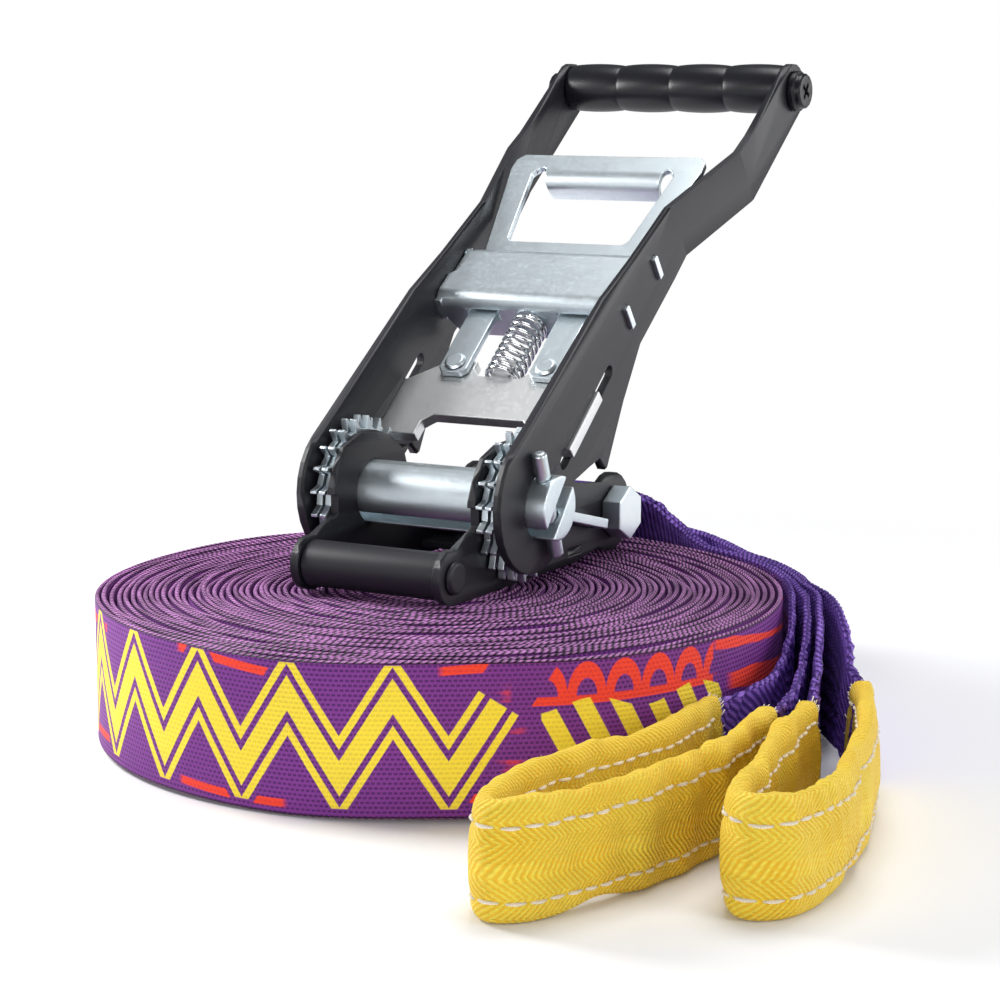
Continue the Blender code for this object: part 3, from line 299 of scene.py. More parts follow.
@dataclass(frozen=True)
class Webbing(Surface):
    """Woven polyester webbing.

    Attributes:
        high: colour of the raised yarns.
        low: colour between them.
        along: pitch of the weave along the tape.
        across: pitch across it.
        lean: slope of the cord ribs, or 0 for a flat weave.
        cord: pitch of the cord ribs.
        ply: pitch of the plies in them.
        depth: relief of the weave.
        printed: whether the tape carries the printed pattern.
    """

    high: Colour = (0.200, 0.030, 0.270)
    low: Colour = (0.085, 0.012, 0.135)
    along: float = 0.0017
    across: float = 0.0015
    lean: float = 0.0
    cord: float = 0.0030
    ply: float = 0.0011
    depth: float = 0.00022
    printed: bool = False

    def inputs(self, graph: Graph) -> dict[str, Value]:
        """The webbing's inputs."""
        u, v = graph.tape_place()
        height = woven(u, v, self.along, self.across)
        if self.lean:
            ply = ((v - u * 0.3) / self.ply).wave()
            height = ((u + v * self.lean) / self.cord).wave() * (ply * 0.45 + 0.55)
        cloud = graph.noise(graph.point(u, v), 60.0)
        fibre = graph.noise(graph.point(u * 0.35, v * 2.0), 2600.0, 1.0)
        tone = (height * 0.95 + (cloud - 0.5) * 0.6 + (fibre - 0.5) * 0.35).ramp(-0.1, 1.05)
        colour = graph.blend(tone, self.low, self.high)
        if self.printed:
            colour = Print().over(graph, u, v, colour, height * 0.12 + 0.88 + (cloud - 0.5) * 0.12)
        return {
            "Base Color": colour,
            "Roughness": height * -0.12 + 0.74,
            "Sheen Weight": 0.06,
            "Sheen Roughness": 0.4,
            "Sheen Tint": (0.85, 0.5, 1.0),
            "Specular IOR Level": 0.35,
            "Normal": graph.relief(height + fibre * 0.2, self.depth),
        }


@dataclass(frozen=True)
class Print:
    """Printed pattern of the line's outer face: a zigzag, leaning dashes, arches and brushed bands.

    Attributes:
        start: place along the line where the pattern starts.
        reach: length of the zigzag, where the other figures begin.
        pitch: length of one zigzag.
        slope: steepness of its strokes.
        dash: pitch of the dashes.
        brush: pitch of the bands.
        arch: pitch of the arches.
        yellow: colour of the zigzag and the dashes.
        red: colour of the bands and the arches.
    """

    start: float = 0.176
    reach: float = 0.198
    pitch: float = 0.0330
    slope: float = 1.55
    dash: float = 0.0125
    brush: float = 0.0118
    arch: float = 0.0128
    yellow: Colour = (0.96, 0.74, 0.040)
    red: Colour = (0.92, 0.052, 0.018)

    def from_zigzag(self, s: Signal, v: Signal) -> Signal:
        """Distance from the zigzag's middle line; its last stroke runs straight on."""
        fold = ((s.least(self.reach - 0.00001) / self.pitch).fract() - 0.5).size()
        middle = fold * (self.slope * self.pitch) + 0.0125 + (s - self.reach).most(0.0) * self.slope
        return ((v - middle) / math.hypot(1, self.slope)).size()

    def zigzag(self, s: Signal, v: Signal, off: Signal) -> Signal:
        """A broad stroke with a thin one on each side, cut square at its end."""
        strokes = (off.stroke(0.0028, 0.0003) + (off - 0.0060).stroke(0.0010, 0.0003)).least(1.0)
        close = (s + v * self.slope).ramp(0.2522, 0.2512)
        return strokes * s.ramp(0.0, 0.0008) * close * v.between(0.0030, 0.0476, 0.0004)

    def dashes(self, s: Signal, v: Signal) -> Signal:
        """A row of leaning dashes beyond the zigzag."""
        lean = ((s + v * 0.55) / self.dash).fract()
        tall = (v - 0.0255 + (s * 160.0).sin() * 0.0022).stroke(0.0084, 0.0004)
        return lean.between(0.06, 0.62, 0.04) * tall * s.between(0.2090, 0.2790, 0.0008)

    def stripes(self, s: Signal, v: Signal, ragged: Signal) -> Signal:
        """Long brushed bands of uneven breadth, clear of the dashes and the arches."""
        curve = (s * 21.0).sin() * 0.0045 + s * 0.032
        band = ((v + curve) / self.brush).fract()
        breadth = (s * 34.0 + (v / self.brush).floor() * 2.1).sin() * 0.17 + 0.30 + ragged * 60.0
        beside = (v - 0.0255).stroke(0.0108, 0.0010) * s.between(0.200, 0.286, 0.006)
        under = v.ramp(0.0338, 0.0345) * s.between(0.198, 0.276, 0.003)
        stripe = ((band - 0.5).size() - breadth * 0.62).ramp(0.02, -0.02)
        return stripe * (s + ragged * 9.0).ramp(0.196, 0.206) * ((1 - beside) * (1 - under))

    def arches(self, s: Signal, v: Signal) -> Signal:
        """A row of arches that stand on a line."""
        step = ((s / self.arch).fract() - 0.5) * self.arch
        rise = (v - 0.0366) * 0.6
        bow = ((step * step + rise * rise).power(0.5) - 0.0050).stroke(0.0014, 0.0003)
        line = (v - 0.0358).stroke(0.0012, 0.0003)
        return (bow * rise.ramp(0.0, 0.0004) + line).least(1.0) * s.between(0.2010, 0.2740, 0.0006)

    def edges(self, s: Signal, v: Signal) -> Signal:
        """Broken lines along both edges, beside the zigzag."""
        upper = (v - 0.0448 + (s * 55.0).sin() * 0.0018).stroke(0.0012, 0.0004)
        lower = (v - 0.0052 - (s * 38.0).sin() * 0.0016).stroke(0.0011, 0.0004)
        broken = (s * 71.0).sin().ramp(0.05, 0.25)
        return (upper + lower).least(1.0) * broken * s.ramp(0.205, 0.196) * s.ramp(0.200, 0.196)

    def over(self, graph: Graph, u: Signal, v: Signal, cloth: Signal, worn: Signal) -> Signal:
        """Lay the pattern over the cloth's colour.

        Args:
            graph: the material's graph.
            u: metres along the tape.
            v: metres above its lower edge.
            cloth: colour of the bare cloth.
            worn: share of the print that is left.

        Returns:
            The colour with its print.
        """
        s = u - self.start
        ragged = (graph.noise(graph.point(u * 0.25, v), 420.0) - 0.5) * 0.0022
        off = self.from_zigzag(s, v) + ragged * 0.15
        dashes = self.dashes(s, v)
        lines = (self.edges(s, v) + self.arches(s, v)) * (1 - off.ramp(0.0092, 0.0088))
        bands = (self.stripes(s, v, ragged) * (1 - dashes) + lines).least(1.0)
        painted = graph.blend((bands * worn).least(1.0), cloth, self.red)
        return graph.blend(((self.zigzag(s, v, off) + dashes) * worn).least(1.0), painted, self.yellow)


@dataclass(frozen=True)
class Selvedge(Surface):
    """Edge of the webbing, where the weft turns back in small yarn loops, with painted shade in the grooves
    between the wound layers.

    Attributes:
        high: colour of the loops, lightened with a painted highlight of their shine.
        low: near black painted shade between the loops and in the grooves between layers.
        loop: length of one loop.
        crown: where the rounded edge begins and how far it reaches round; off its middle the colour fades
            into the painted groove shade.
    """

    high: Colour = (0.80, 0.330, 0.80)
    low: Colour = (0.010, 0.0005, 0.016)
    loop: float = 0.0024
    crown: tuple[float, float] = (0.0478, 0.0026)

    def inputs(self, graph: Graph) -> dict[str, Value]:
        """The selvedge's inputs."""
        u, v = graph.tape_place()
        round_it = (v - self.crown[0]) / self.crown[1]
        # over is 1 on the middle of the rounded edge and 0 at its sides, where the layers meet: it paints the
        # groove shade
        over = (round_it * math.pi).sin().size()
        lean = (u + (round_it - 0.5).size() * 0.0030) / self.loop
        ply = (lean * 3 - v / 0.0013).wave()
        cloud = graph.noise(graph.point(u, v * 0.1), 35.0)
        fibre = graph.noise(graph.point(u, v), 1500.0, 1.0)
        height = lean.wave().power(0.55) * (ply * 0.25 + 0.75)
        tone = (height * 0.9 + (cloud - 0.5) * 1.1 + (fibre - 0.5) * 0.5).ramp(0.05, 1.15)
        return {
            # painted shade: the loops darken towards the grooves between layers
            "Base Color": graph.blend(tone * over.ramp(0.12, 0.80), self.low, self.high),
            "Roughness": 0.58 - height * 0.14,
            "Sheen Weight": 0.05,
            "Sheen Roughness": 0.35,
            "Sheen Tint": (0.9, 0.6, 1.0),
            "Specular IOR Level": 0.28,
            "Normal": graph.relief(height + fibre * 0.2, 0.0008),
        }


@dataclass(frozen=True)
class Twill(Surface):
    """Yellow tubular webbing of the sleeves: a herringbone of fine ribs, with painted amber shade between
    them.

    Attributes:
        high: colour of the ribs.
        low: amber between the ribs, painted shade for light bouncing inside the folds, and in random cloudy
            patches.
        rib: pitch of the ribs.
        yarn: pitch of the yarns across them.
        chevron: height of one herringbone row.
    """

    high: Colour = (0.90, 0.725, 0.080)
    low: Colour = (0.76, 0.390, 0.003)
    rib: float = 0.0017
    yarn: float = 0.00105
    chevron: float = 0.0115

    def inputs(self, graph: Graph) -> dict[str, Value]:
        """The sleeve's inputs."""
        u, v = graph.tape_place()
        fold = ((v / self.chevron).fract() - 0.5).size() * self.chevron
        yarn = ((v + u * 0.12) / self.yarn).wave()
        height = ((u + fold * 0.9) / self.rib).wave() * (yarn * 0.5 + 0.5)
        cloud = graph.noise(graph.point(u, v), 45.0)
        fine = graph.noise(graph.point(u, v), 1800.0, 1.0)
        # the low amber between the ribs is painted shade; the cloud adds random tone
        tone = (height * 0.70 + 0.30 + (cloud - 0.5) * 0.6 + (fine - 0.5) * 0.4).ramp(0.0, 1.0)
        return {
            "Base Color": graph.blend(tone, self.low, self.high),
            "Roughness": 0.60 - height * 0.10,
            "Sheen Weight": 0.05,
            "Sheen Roughness": 0.4,
            "Specular IOR Level": 0.25,
            "Subsurface Weight": 0.06,
            "Subsurface Radius": (0.004, 0.002, 0.0006),
            "Normal": graph.relief(height + fine * 0.25 + cloud * 0.6, 0.00045),
        }


@dataclass(frozen=True)
class Thread(Surface):
    """Sewing thread, two plies twisted together.

    Attributes:
        colour: colour of the thread.
        dark: colour between the plies.
    """

    colour: Colour = (0.97, 0.90, 0.78)
    dark: Colour = (0.80, 0.66, 0.44)

    def inputs(self, graph: Graph) -> dict[str, Value]:
        """The thread's inputs."""
        u, v = graph.tape_place()
        ply = (u / 0.0008 + v / 0.0014).wave()
        return {
            "Base Color": graph.blend(ply, self.dark, self.colour),
            "Roughness": 0.6 - ply * 0.1,
            "Sheen Weight": 0.3,
            "Normal": graph.relief(ply, 0.0001),
        }


@dataclass(frozen=True)
class Coating(Surface):
    """Powder coat or moulded plastic: a fine skin with softly worn edges.

    Attributes:
        colour: colour of the skin.
        worn: colour where edges have rubbed.
        roughness: mean roughness.
        grain: pitch of the fine texture.
        gloss: strength of its highlights.
    """

    colour: Colour
    worn: Colour
    roughness: float
    grain: float = 0.0007
    gloss: float = 0.40

    def inputs(self, graph: Graph) -> dict[str, Value]:
        """The coating's inputs."""
        place = graph.body_place()
        peel = graph.noise(place, 1 / self.grain, 2.0)
        cloud = graph.noise(place, 26.0)
        specks = graph.noise(place, 900.0, 1.0).ramp(0.70, 0.78)
        rub = graph.rim(0.0006) * graph.noise(place, 130.0).ramp(0.35, 0.65)
        skin = graph.blend(cloud, self.colour, tuple(1.08 * part for part in self.colour))
        return {
            "Base Color": graph.blend((rub * 0.5 + specks * 0.12).least(1.0), skin, self.worn),
            "Roughness": (cloud - 0.5) * 0.04 + (peel - 0.5) * 0.08 + self.roughness - rub * 0.08,
            "Specular IOR Level": self.gloss,
            "Normal": graph.relief(peel, 0.00003, 0.0007),
        }


class Brush(Enum):
    """Direction of the fine lines that working leaves on a metal piece."""

    ROUND = (220.0, 220.0, 220.0)
    ALONG_X = (40.0, 900.0, 900.0)


@dataclass(frozen=True)
class Metal(Surface):
    """Plated or bare steel with fine lines, stains and bright edges.

    Attributes:
        colour: main colour of the metal.
        tint: colour of its cloudy stains.
        roughness: mean roughness.
        brush: direction of the fine lines.
        depth: relief of the lines.
        bright: colour of the rubbed edges.
    """

    colour: Colour
    tint: Colour
    roughness: float
    brush: Brush = Brush.ROUND
    depth: float = 0.000006
    bright: Colour = (0.93, 0.95, 0.96)

    def inputs(self, graph: Graph) -> dict[str, Value]:
        """The metal's inputs."""
        place = graph.body_place()
        drawn = graph.node("ShaderNodeVectorMath", {0: place, 1: self.brush.value}, operation="MULTIPLY")
        lines = graph.noise(drawn, 1.0, 4.0)
        cloud = graph.noise(place, 150.0)
        bloom = graph.noise(place, 640.0).ramp(0.45, 0.75)
        scratch = graph.noise(drawn, 2.6, 2.0).ramp(0.62, 0.70)
        rub = graph.node("ShaderNodeNewGeometry", output="Pointiness").ramp(0.52, 0.60)
        colour = graph.blend(cloud * 0.8 + bloom * 0.2, self.colour, self.tint)
        rough = (cloud - 0.5) * 0.10 + bloom * 0.06 + scratch * 0.06 + self.roughness - rub * 0.08
        return {
            "Base Color": graph.blend(rub * 0.5, colour, self.bright),
            "Metallic": 1.0,
            "Roughness": rough.most(0.08),
            "Normal": graph.relief(lines + scratch * 0.4, self.depth),
        }


class Finish(Enum):
    FACE = ("purple_webbing", Webbing("webbing_face"))
    PRINTED = ("purple_webbing", Webbing("webbing_printed", printed=True))
    CORDED = ("purple_webbing", Webbing("webbing_corded", (0.420, 0.200, 0.900), (0.060, 0.018, 0.220),
                                        lean=0.8, depth=0.0009))
    # the edge finishes carry painted shade in the grooves and a painted highlight on the loops
    SELVEDGE = ("purple_webbing", Selvedge("webbing_edge"))
    CORD_EDGE = ("purple_webbing", Selvedge("strap_edge", (0.42, 0.21, 0.88), (0.050, 0.014, 0.18), 0.0030))
    # the sleeve's amber low colour is painted shade
    SLEEVE = ("yellow_sleeve", Twill("sleeve_twill"))
    THREAD = ("yellow_sleeve", Thread("sewing_thread"))
    COAT = ("black_coat", Coating("powder_coat", (0.0110, 0.0110, 0.0150), (0.10, 0.10, 0.11), 0.44))
    GRIP = ("black_grip", Coating("moulded_grip", (0.0070, 0.0070, 0.0100), (0.04, 0.04, 0.045), 0.33,
                                  0.0011, 0.34))
    ZINC = ("zinc", Metal("zinc_plate", (0.72, 0.79, 0.82), (0.57, 0.65, 0.70), 0.38, Brush.ALONG_X))
    SATIN = ("satin_steel", Metal("satin_plate", (0.70, 0.71, 0.71), (0.60, 0.61, 0.61), 0.44))
    WIRE = ("spring_steel", Metal("spring_wire", (0.72, 0.73, 0.75), (0.50, 0.52, 0.55), 0.20,
                                  depth=0.000012))

    def __init__(self, slot: str, surface: Surface) -> None:
        """Keep the parts by name.

        Args:
            slot: name of its material slot.
            surface: what the finish is made of.
        """
        self.slot = slot
        self.surface = surface


# ---------------------------------------------------------------- geometry: the working tools


def placed(name: str, data: bpy.types.ID) -> bpy.types.Object:
    """A new object in the scene."""
    made = bpy.data.objects.new(name, data)
    bpy.context.scene.collection.objects.link(made)
    return made


def show(name: str, mesh: Mesh, body: str, nodes: tuple[str, ...], *finishes: Finish) -> bpy.types.Object:
    """Args:
        name: the new piece's name.
        mesh: its mesh, in the row frame.
        body: the body it rides on.
        nodes: the model's nodes that it stands for.
        finishes: its finishes, in the order of its face numbers.

    Returns:
        The piece.
    """
    piece = placed(name, mesh)
    for finish in finishes:
        mesh.materials.append(finish.surface.material())
    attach(piece, body)
    if nodes:
        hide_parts(*nodes)
    return piece


def worked(node: str, finish: Finish, edge: float) -> bpy.types.Object:
    """A metal piece in the model's own form, with its edges worked round.

    Args:
        node: the model's node.
        finish: its finish.
        edge: radius of the rounded edges.

    Returns:
        The piece, which stands for the node.
    """
    source = frame["nodes"][node]
    solid = bmesh.new()
    solid.from_mesh(source.data)
    bmesh.ops.remove_doubles(solid, verts=solid.verts, dist=WELD)
    sharp = [e for e in solid.edges if e.is_manifold and e.calc_face_angle(0.0) > SHARP_ANGLE]
    if edge:
        bmesh.ops.bevel(solid, geom=sharp, offset=edge, offset_type="OFFSET", segments=3, profile=0.5,
                        affect="EDGES", clamp_overlap=False)
    for face in solid.faces:
        face.smooth = True
    mesh = bpy.data.meshes.new(node + "_worked")
    solid.to_mesh(mesh)
    solid.free()
    mesh.set_sharp_from_angle(angle=CREASE_ANGLE)
    piece = show(node + "_worked", mesh, source["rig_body"], (node,), finish)
    shading = piece.modifiers.new("even_shading", "WEIGHTED_NORMAL")
    shading.mode, shading.weight, shading.keep_sharp = "FACE_AREA", 50, True
    return piece


def smooth_mesh(name: str, points: list, faces: list, spots: list | Array | None = None) -> Mesh:
    """A mesh with smooth faces.

    Args:
        name: its name.
        points: its points.
        faces: its faces, as numbers of points.
        spots: place on the cloth of each face's corners, if it has a weave.

    Returns:
        The mesh.
    """
    mesh = bpy.data.meshes.new(name)
    mesh.from_pydata(points, [], faces)
    mesh.polygons.foreach_set("use_smooth", np.ones(len(faces), bool))
    if spots is not None:
        layer = mesh.uv_layers.new(name=SPOT_UV)
        layer.data.foreach_set("uv", np.asarray(spots, np.float32).ravel())
    return mesh


@dataclass
class Weaver:
    """Makes strips of cloth along a route.

    Attributes:
        rows: points across each face.
        rounds: points round each edge.
    """

    rows: int = 5
    rounds: int = 5

    def section(self, thick: float, width: float) -> tuple[Array, Array, Array, Array]:
        """Section of a flat tape with round edges.

        Args:
            thick: usual thickness.
            width: usual width.

        Returns:
            Shares across the thickness, shares of the flat part's half width, shares of the round
            part, and metres round the section from the outer face's lower edge.
        """
        heights = np.linspace(-1, 1, self.rows)
        turns = np.linspace(0, math.pi, self.rounds + 2)[1:-1]
        across = np.concatenate([np.ones(self.rows), np.cos(turns)])
        flat = np.concatenate([heights, np.ones(self.rounds)])
        bulge = np.concatenate([np.zeros(self.rows), np.sin(turns)])
        side, crown = width - thick, math.pi * thick / 2
        v = np.concatenate([(heights + 1) / 2 * side, side + thick / 2 * turns]) + thick / 2
        parts = (np.concatenate([part, -part]) for part in (across, flat, bulge))
        return *parts, np.concatenate([v, v + side + crown])

    def strip(self, name: str, places: Array, side: Array, up: Array, thick: float, width: float | Array,
              bow: float | Array = 0.0, push: float | Array = 0.0) -> Mesh:
        """Weave one closed strip.

        Args:
            name: mesh name.
            places: middle of the tape at each station.
            side: the outward direction across its thickness.
            up: the direction across its width.
            thick: its thickness.
            width: its width, for all stations or for each.
            bow: how far the tape's middle stands out at each station.
            push: extra push of every point, shape (stations, points, 3).

        Returns:
            The mesh.
        """
        across, flat, bulge, v = self.section(thick, float(np.median(width)))
        half, width = (np.broadcast_to(value, len(places))[:, None] for value in (thick / 2, width))
        y = flat * (width / 2 - half) + bulge * half
        share = np.clip(y / (width / 2), -1, 1)
        x = across * half + np.reshape(bow, (-1, 1)) * (1 - share ** 2)
        points = places[:, None, :] + side[:, None, :] * x[:, :, None]
        points = points + np.broadcast_to(up, places.shape)[:, None, :] * y[:, :, None]
        return self.skin(name, points + push, travelled(places), v)

    def skin(self, name: str, points: Array, u: Array, v: Array) -> Mesh:
        """Cover a grid of points with faces and close its two ends.

        Args:
            name: mesh name.
            points: places by station and section point.
            u: metres along at each station.
            v: metres round the section at each of its points.

        Returns:
            The mesh. Its faces are numbered 0 on the outer face, 1 on the edges and 2 inside.
        """
        stations, count = points.shape[:2]
        i, j = np.meshgrid(np.arange(stations - 1), np.arange(count), indexing="ij")
        corners = ((i, j), (i, j + 1), (i + 1, j + 1), (i + 1, j))
        wrap = np.append(v, 2 * v[-1] - v[-2])
        quads, quad_u, quad_v = (np.stack(parts, -1).reshape(-1, 4)[:, ::-1] for parts in (
            [a * count + b % count for a, b in corners], [u[a] for a, _ in corners],
            [wrap[b] for _, b in corners]))
        ends = [list(range(count)), list(range((stations - 1) * count, stations * count))[::-1]]
        caps = [np.stack([np.full(count, u[at]), around], -1) for at, around in ((0, v), (-1, v[::-1]))]
        spots = np.concatenate([np.stack([quad_u, quad_v], -1).reshape(-1, 2), *caps])
        mesh = smooth_mesh(name, points.reshape(-1, 3).tolist(), quads.tolist() + ends, spots)
        kind = np.where(j < self.rows - 1, 0, 1)
        kind = np.where((j >= self.rows + self.rounds) & (j < 2 * self.rows + self.rounds - 1), 2, kind)
        numbers = np.concatenate([kind.ravel(), [1, 1]]).astype(np.int32)
        mesh.polygons.foreach_set("material_index", numbers)
        return mesh


def joined(name: str, meshes: list[Mesh]) -> Mesh:
    """Several meshes as one."""
    whole = bmesh.new()
    for mesh in meshes:
        whole.from_mesh(mesh)
        bpy.data.meshes.remove(mesh)
    made = bpy.data.meshes.new(name)
    whole.to_mesh(made)
    whole.free()
    return made


def sampled(wanted: float | Array, travel: Array, line: Array) -> Array:
    """Values of a line at the wanted distances along it."""
    return np.stack([np.interp(wanted, travel, column) for column in line.T], -1)


def flowing(knots: list[tuple[float, ...]], step: float) -> Array:
    """A smooth line through given places.

    Args:
        knots: the places, with any further values after the first three.
        step: distance between the line's points.

    Returns:
        The line's points, evenly spaced.
    """
    chosen = np.array(knots, float)
    padded = np.vstack([2 * chosen[0] - chosen[1], chosen, 2 * chosen[-1] - chosen[-2]])
    t = np.linspace(0, 1, SPAN_POINTS, endpoint=False)[:, None]
    parts = []
    for i in range(1, len(padded) - 2):
        before, start, end, after = padded[i - 1:i + 3]
        bend = 2 * before - 5 * start + 4 * end - after
        twist = 3 * start - before - 3 * end + after
        parts.append((2 * start + (end - before) * t + bend * t ** 2 + twist * t ** 3) / 2)
    line = np.vstack(parts + [chosen[-1:]])
    travel = travelled(line[:, :3])
    count = max(2, int(round(travel[-1] / step)) + 1)
    wanted = np.linspace(0, travel[-1], count)
    return sampled(wanted, travel, line)


def unit(vectors: Array) -> Array:
    """Vectors of length one."""
    return vectors / np.maximum(np.linalg.norm(vectors, axis=-1, keepdims=True), 1e-12)


def travelled(places: Array) -> Array:
    """Metres along a line at each of its places."""
    return np.concatenate([[0.0], np.cumsum(np.linalg.norm(np.diff(places, axis=0), axis=1))])


def upright(places: Array, turn: Array | None = None) -> tuple[Array, Array]:
    """Directions across a tape that stands on its edge.

    Args:
        places: its middle line.
        turn: how far it leans over at each place, in radians.

    Returns:
        The direction across its thickness and the one across its width.
    """
    ahead = unit(np.gradient(places, axis=0))
    side = unit(np.cross(ahead, [0.0, 0.0, 1.0]))
    up = unit(np.cross(side, ahead))
    if turn is None:
        return side, up
    c, s = np.cos(turn)[:, None], np.sin(turn)[:, None]
    return side * c - up * s, up * c + side * s


def waves(seed: int, count: int, low: float, high: float) -> Callable[[Array], Array]:
    """A smooth random function of one value, from sines between two pitches.

    Args:
        seed: fixes the result.
        count: number of sines.
        low: shortest pitch.
        high: longest pitch.

    Returns:
        The function; its results stay mostly between -1 and 1.
    """
    luck = random.Random(seed)
    terms = [(TAU / (low * (high / low) ** luck.random()), TAU * luck.random(), luck.uniform(0.5, 1.0))
             for _ in range(count)]
    total = sum(weight for _, _, weight in terms) * 0.6

    def value(x: Array) -> Array:
        """The function at each x."""
        return sum(weight * np.sin(rate * x + phase) for rate, phase, weight in terms) / total

    return value


def tube(line: Array, radius: Array, sides: int) -> Array:
    """Points of a round tube along a line, ring by ring."""
    ahead = unit(np.gradient(line, axis=0))
    guide = [0.0, 0.0, 1.0] if abs(ahead[0][2]) < 0.9 else [1.0, 0.0, 0.0]
    across = np.cross(ahead[0], guide)
    turns = TAU * np.arange(sides)[:, None] / sides
    points = []
    for place, direction, reach in zip(line, ahead, radius):
        across = unit(across - direction * np.dot(across, direction))
        lift = np.cross(direction, across)
        points.append(place + reach * (np.cos(turns) * across + np.sin(turns) * lift))
    return np.vstack(points)


def tubes_mesh(name: str, parts: list[tuple[Array, Array]], sides: int) -> Mesh:
    """Several round tubes as one mesh, with their places along and round as UV.

    Args:
        name: mesh name.
        parts: each tube's line and its radius at each point.
        sides: faces round each tube.

    Returns:
        The mesh.
    """
    points, faces, spots = [], [], []
    for line, radius in parts:
        offset, count = len(points), len(line)
        quads = [[i * sides + j, i * sides + (j + 1) % sides, (i + 1) * sides + (j + 1) % sides,
                  (i + 1) * sides + j] for i in range(count - 1) for j in range(sides)]
        quads += [list(range(sides))[::-1], list(range((count - 1) * sides, count * sides))]
        travel, girth = travelled(line), TAU * float(radius.max()) / sides
        points += tube(line, radius, sides).tolist()
        faces += [[corner + offset for corner in face] for face in quads]
        spots += [(travel[corner // sides], corner % sides * girth) for face in quads for corner in face]
    return smooth_mesh(name, points, faces, spots)


# ---------------------------------------------------------------- where things stand


@dataclass(frozen=True)
class Layout:
    """Attributes:
        hub: the spindle's middle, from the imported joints.
        ratchet: the spindle's middle from the coil's centre, as the model was drawn.
        handle_lean: how far the handle leans back.
        pawl_lean: how far the drive pawl leans from the handle.
        pawl_foot: the drive pawl's foot from the spindle, along the handle.
    """

    hub: Vector
    ratchet: Vector = Vector((-0.0065, 0.009, 0.0783))
    handle_lean: float = math.radians(36)
    pawl_lean: float = math.radians(3.5)
    pawl_foot: tuple[float, float, float] = (0.0, 0.02635, 0.001)

    @property
    def centre(self) -> Array:
        """The coil's centre on the ground."""
        return np.array(self.hub - self.ratchet)

    def pawl(self) -> Matrix:
        """Frame of the drive pawl on its slide: Y runs along the handle's arms."""
        handle = Matrix.Translation(self.hub) @ Matrix.Rotation(self.handle_lean, 4, "X")
        return handle @ Matrix.Translation(self.pawl_foot) @ Matrix.Rotation(self.pawl_lean, 4, "X")


def find_layout() -> Layout:
    """Read the spindle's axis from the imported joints.

    Returns:
        The layout.
    """
    swing = next(joint for joint in frame["joints"] if joint["name"] == "handle_swing")
    return Layout(Vector(swing["pos_m"]))


# ---------------------------------------------------------------- soft goods


WEB_WIDTH = 0.050
WEB_THICK = 0.0019
BAND = 2 * WEB_THICK
COIL_RADIUS = 0.1174
COIL_END = math.radians(125)
RIM_GAP = 0.0008
STRAP_RIM = COIL_RADIUS + RIM_GAP
TAIL_RIM = STRAP_RIM + BAND + RIM_GAP + BAND / 2
STRAP_TOP = 0.0646
EYE_WIDTH = 0.047
MIDDLE = WEB_WIDTH / 2
CLOTH_THICK = WEB_THICK - 0.0002
BOLT_PLACE = (0.074, -0.0137)
BOLT_SLEEVE = 0.0082

TAIL_ROUTE = ((-0.0460, 0.1170), (-0.0275, 0.1352), (-0.0090, 0.1448), (0.0110, 0.1452), (0.0310, 0.1370),
              (0.0490, 0.1225))
STRAP_ROUTE = ((-0.0065, 0.1056, 1.0, 90, 0.84), (-0.0065, 0.1112, 0.995, 90, 0.80),
               (-0.0060, 0.1175, 0.94, 78, 0.78), (-0.0026, 0.1230, 0.833, 58, 0.78),
               (0.0040, 0.1268, 0.682, 38, 0.80), (0.0140, 0.1285, 0.48, 20, 0.84),
               (0.0270, 0.1250, 0.227, 8, 0.92), (0.0400, 0.1168, 0.05, 2, 1.0))
LINE_LEG_IN = ((0.1157, 0.0523), (0.1215, 0.0400), (0.1290, 0.0230), (0.1360, 0.0050), (0.1415, -0.0105))
LINE_LEG_OUT = ((0.1197, 0.0524), (0.1290, 0.0390), (0.1370, 0.0260), (0.1420, 0.0170), (0.1470, 0.0100))
STRAP_LEG_IN = ((0.1027, 0.0593), (0.1075, 0.0500), (0.1125, 0.0385), (0.1185, 0.0240), (0.1235, 0.0060),
                (0.1245, -0.0110))
STRAP_LEG_OUT = ((0.1057, 0.0593), (0.1130, 0.0490), (0.1195, 0.0350), (0.1265, 0.0180), (0.1325, 0.0),
                 (0.1370, -0.0180))
STRAP_SLEEVE = ((0.1180, -0.0360), (0.1195, -0.0550), (0.1198, -0.0780), (0.1165, -0.0970),
                (0.1120, -0.1160), (0.1085, -0.1350), (0.1075, -0.1520), (0.1105, -0.1650),
                (0.1170, -0.1700), (0.1235, -0.1660), (0.1290, -0.1565), (0.1340, -0.1430),
                (0.1382, -0.1270), (0.1412, -0.1100), (0.1428, -0.0920), (0.1430, -0.0750),
                (0.1418, -0.0570), (0.1390, -0.0400))
LINE_SLEEVE = ((0.1455, -0.0250), (0.1510, -0.0500), (0.1565, -0.0780), (0.1605, -0.1000),
               (0.1645, -0.1180), (0.1695, -0.1300), (0.1760, -0.1345), (0.1825, -0.1290),
               (0.1858, -0.1150), (0.1848, -0.0980), (0.1810, -0.0780), (0.1750, -0.0550),
               (0.1680, -0.0320), (0.1590, -0.0120), (0.1510, 0.0030))


def eased(share: float | Array) -> float | Array:
    """A share that starts very gently and ends gently."""
    late = share * share
    return late * late * (3 - 2 * late)


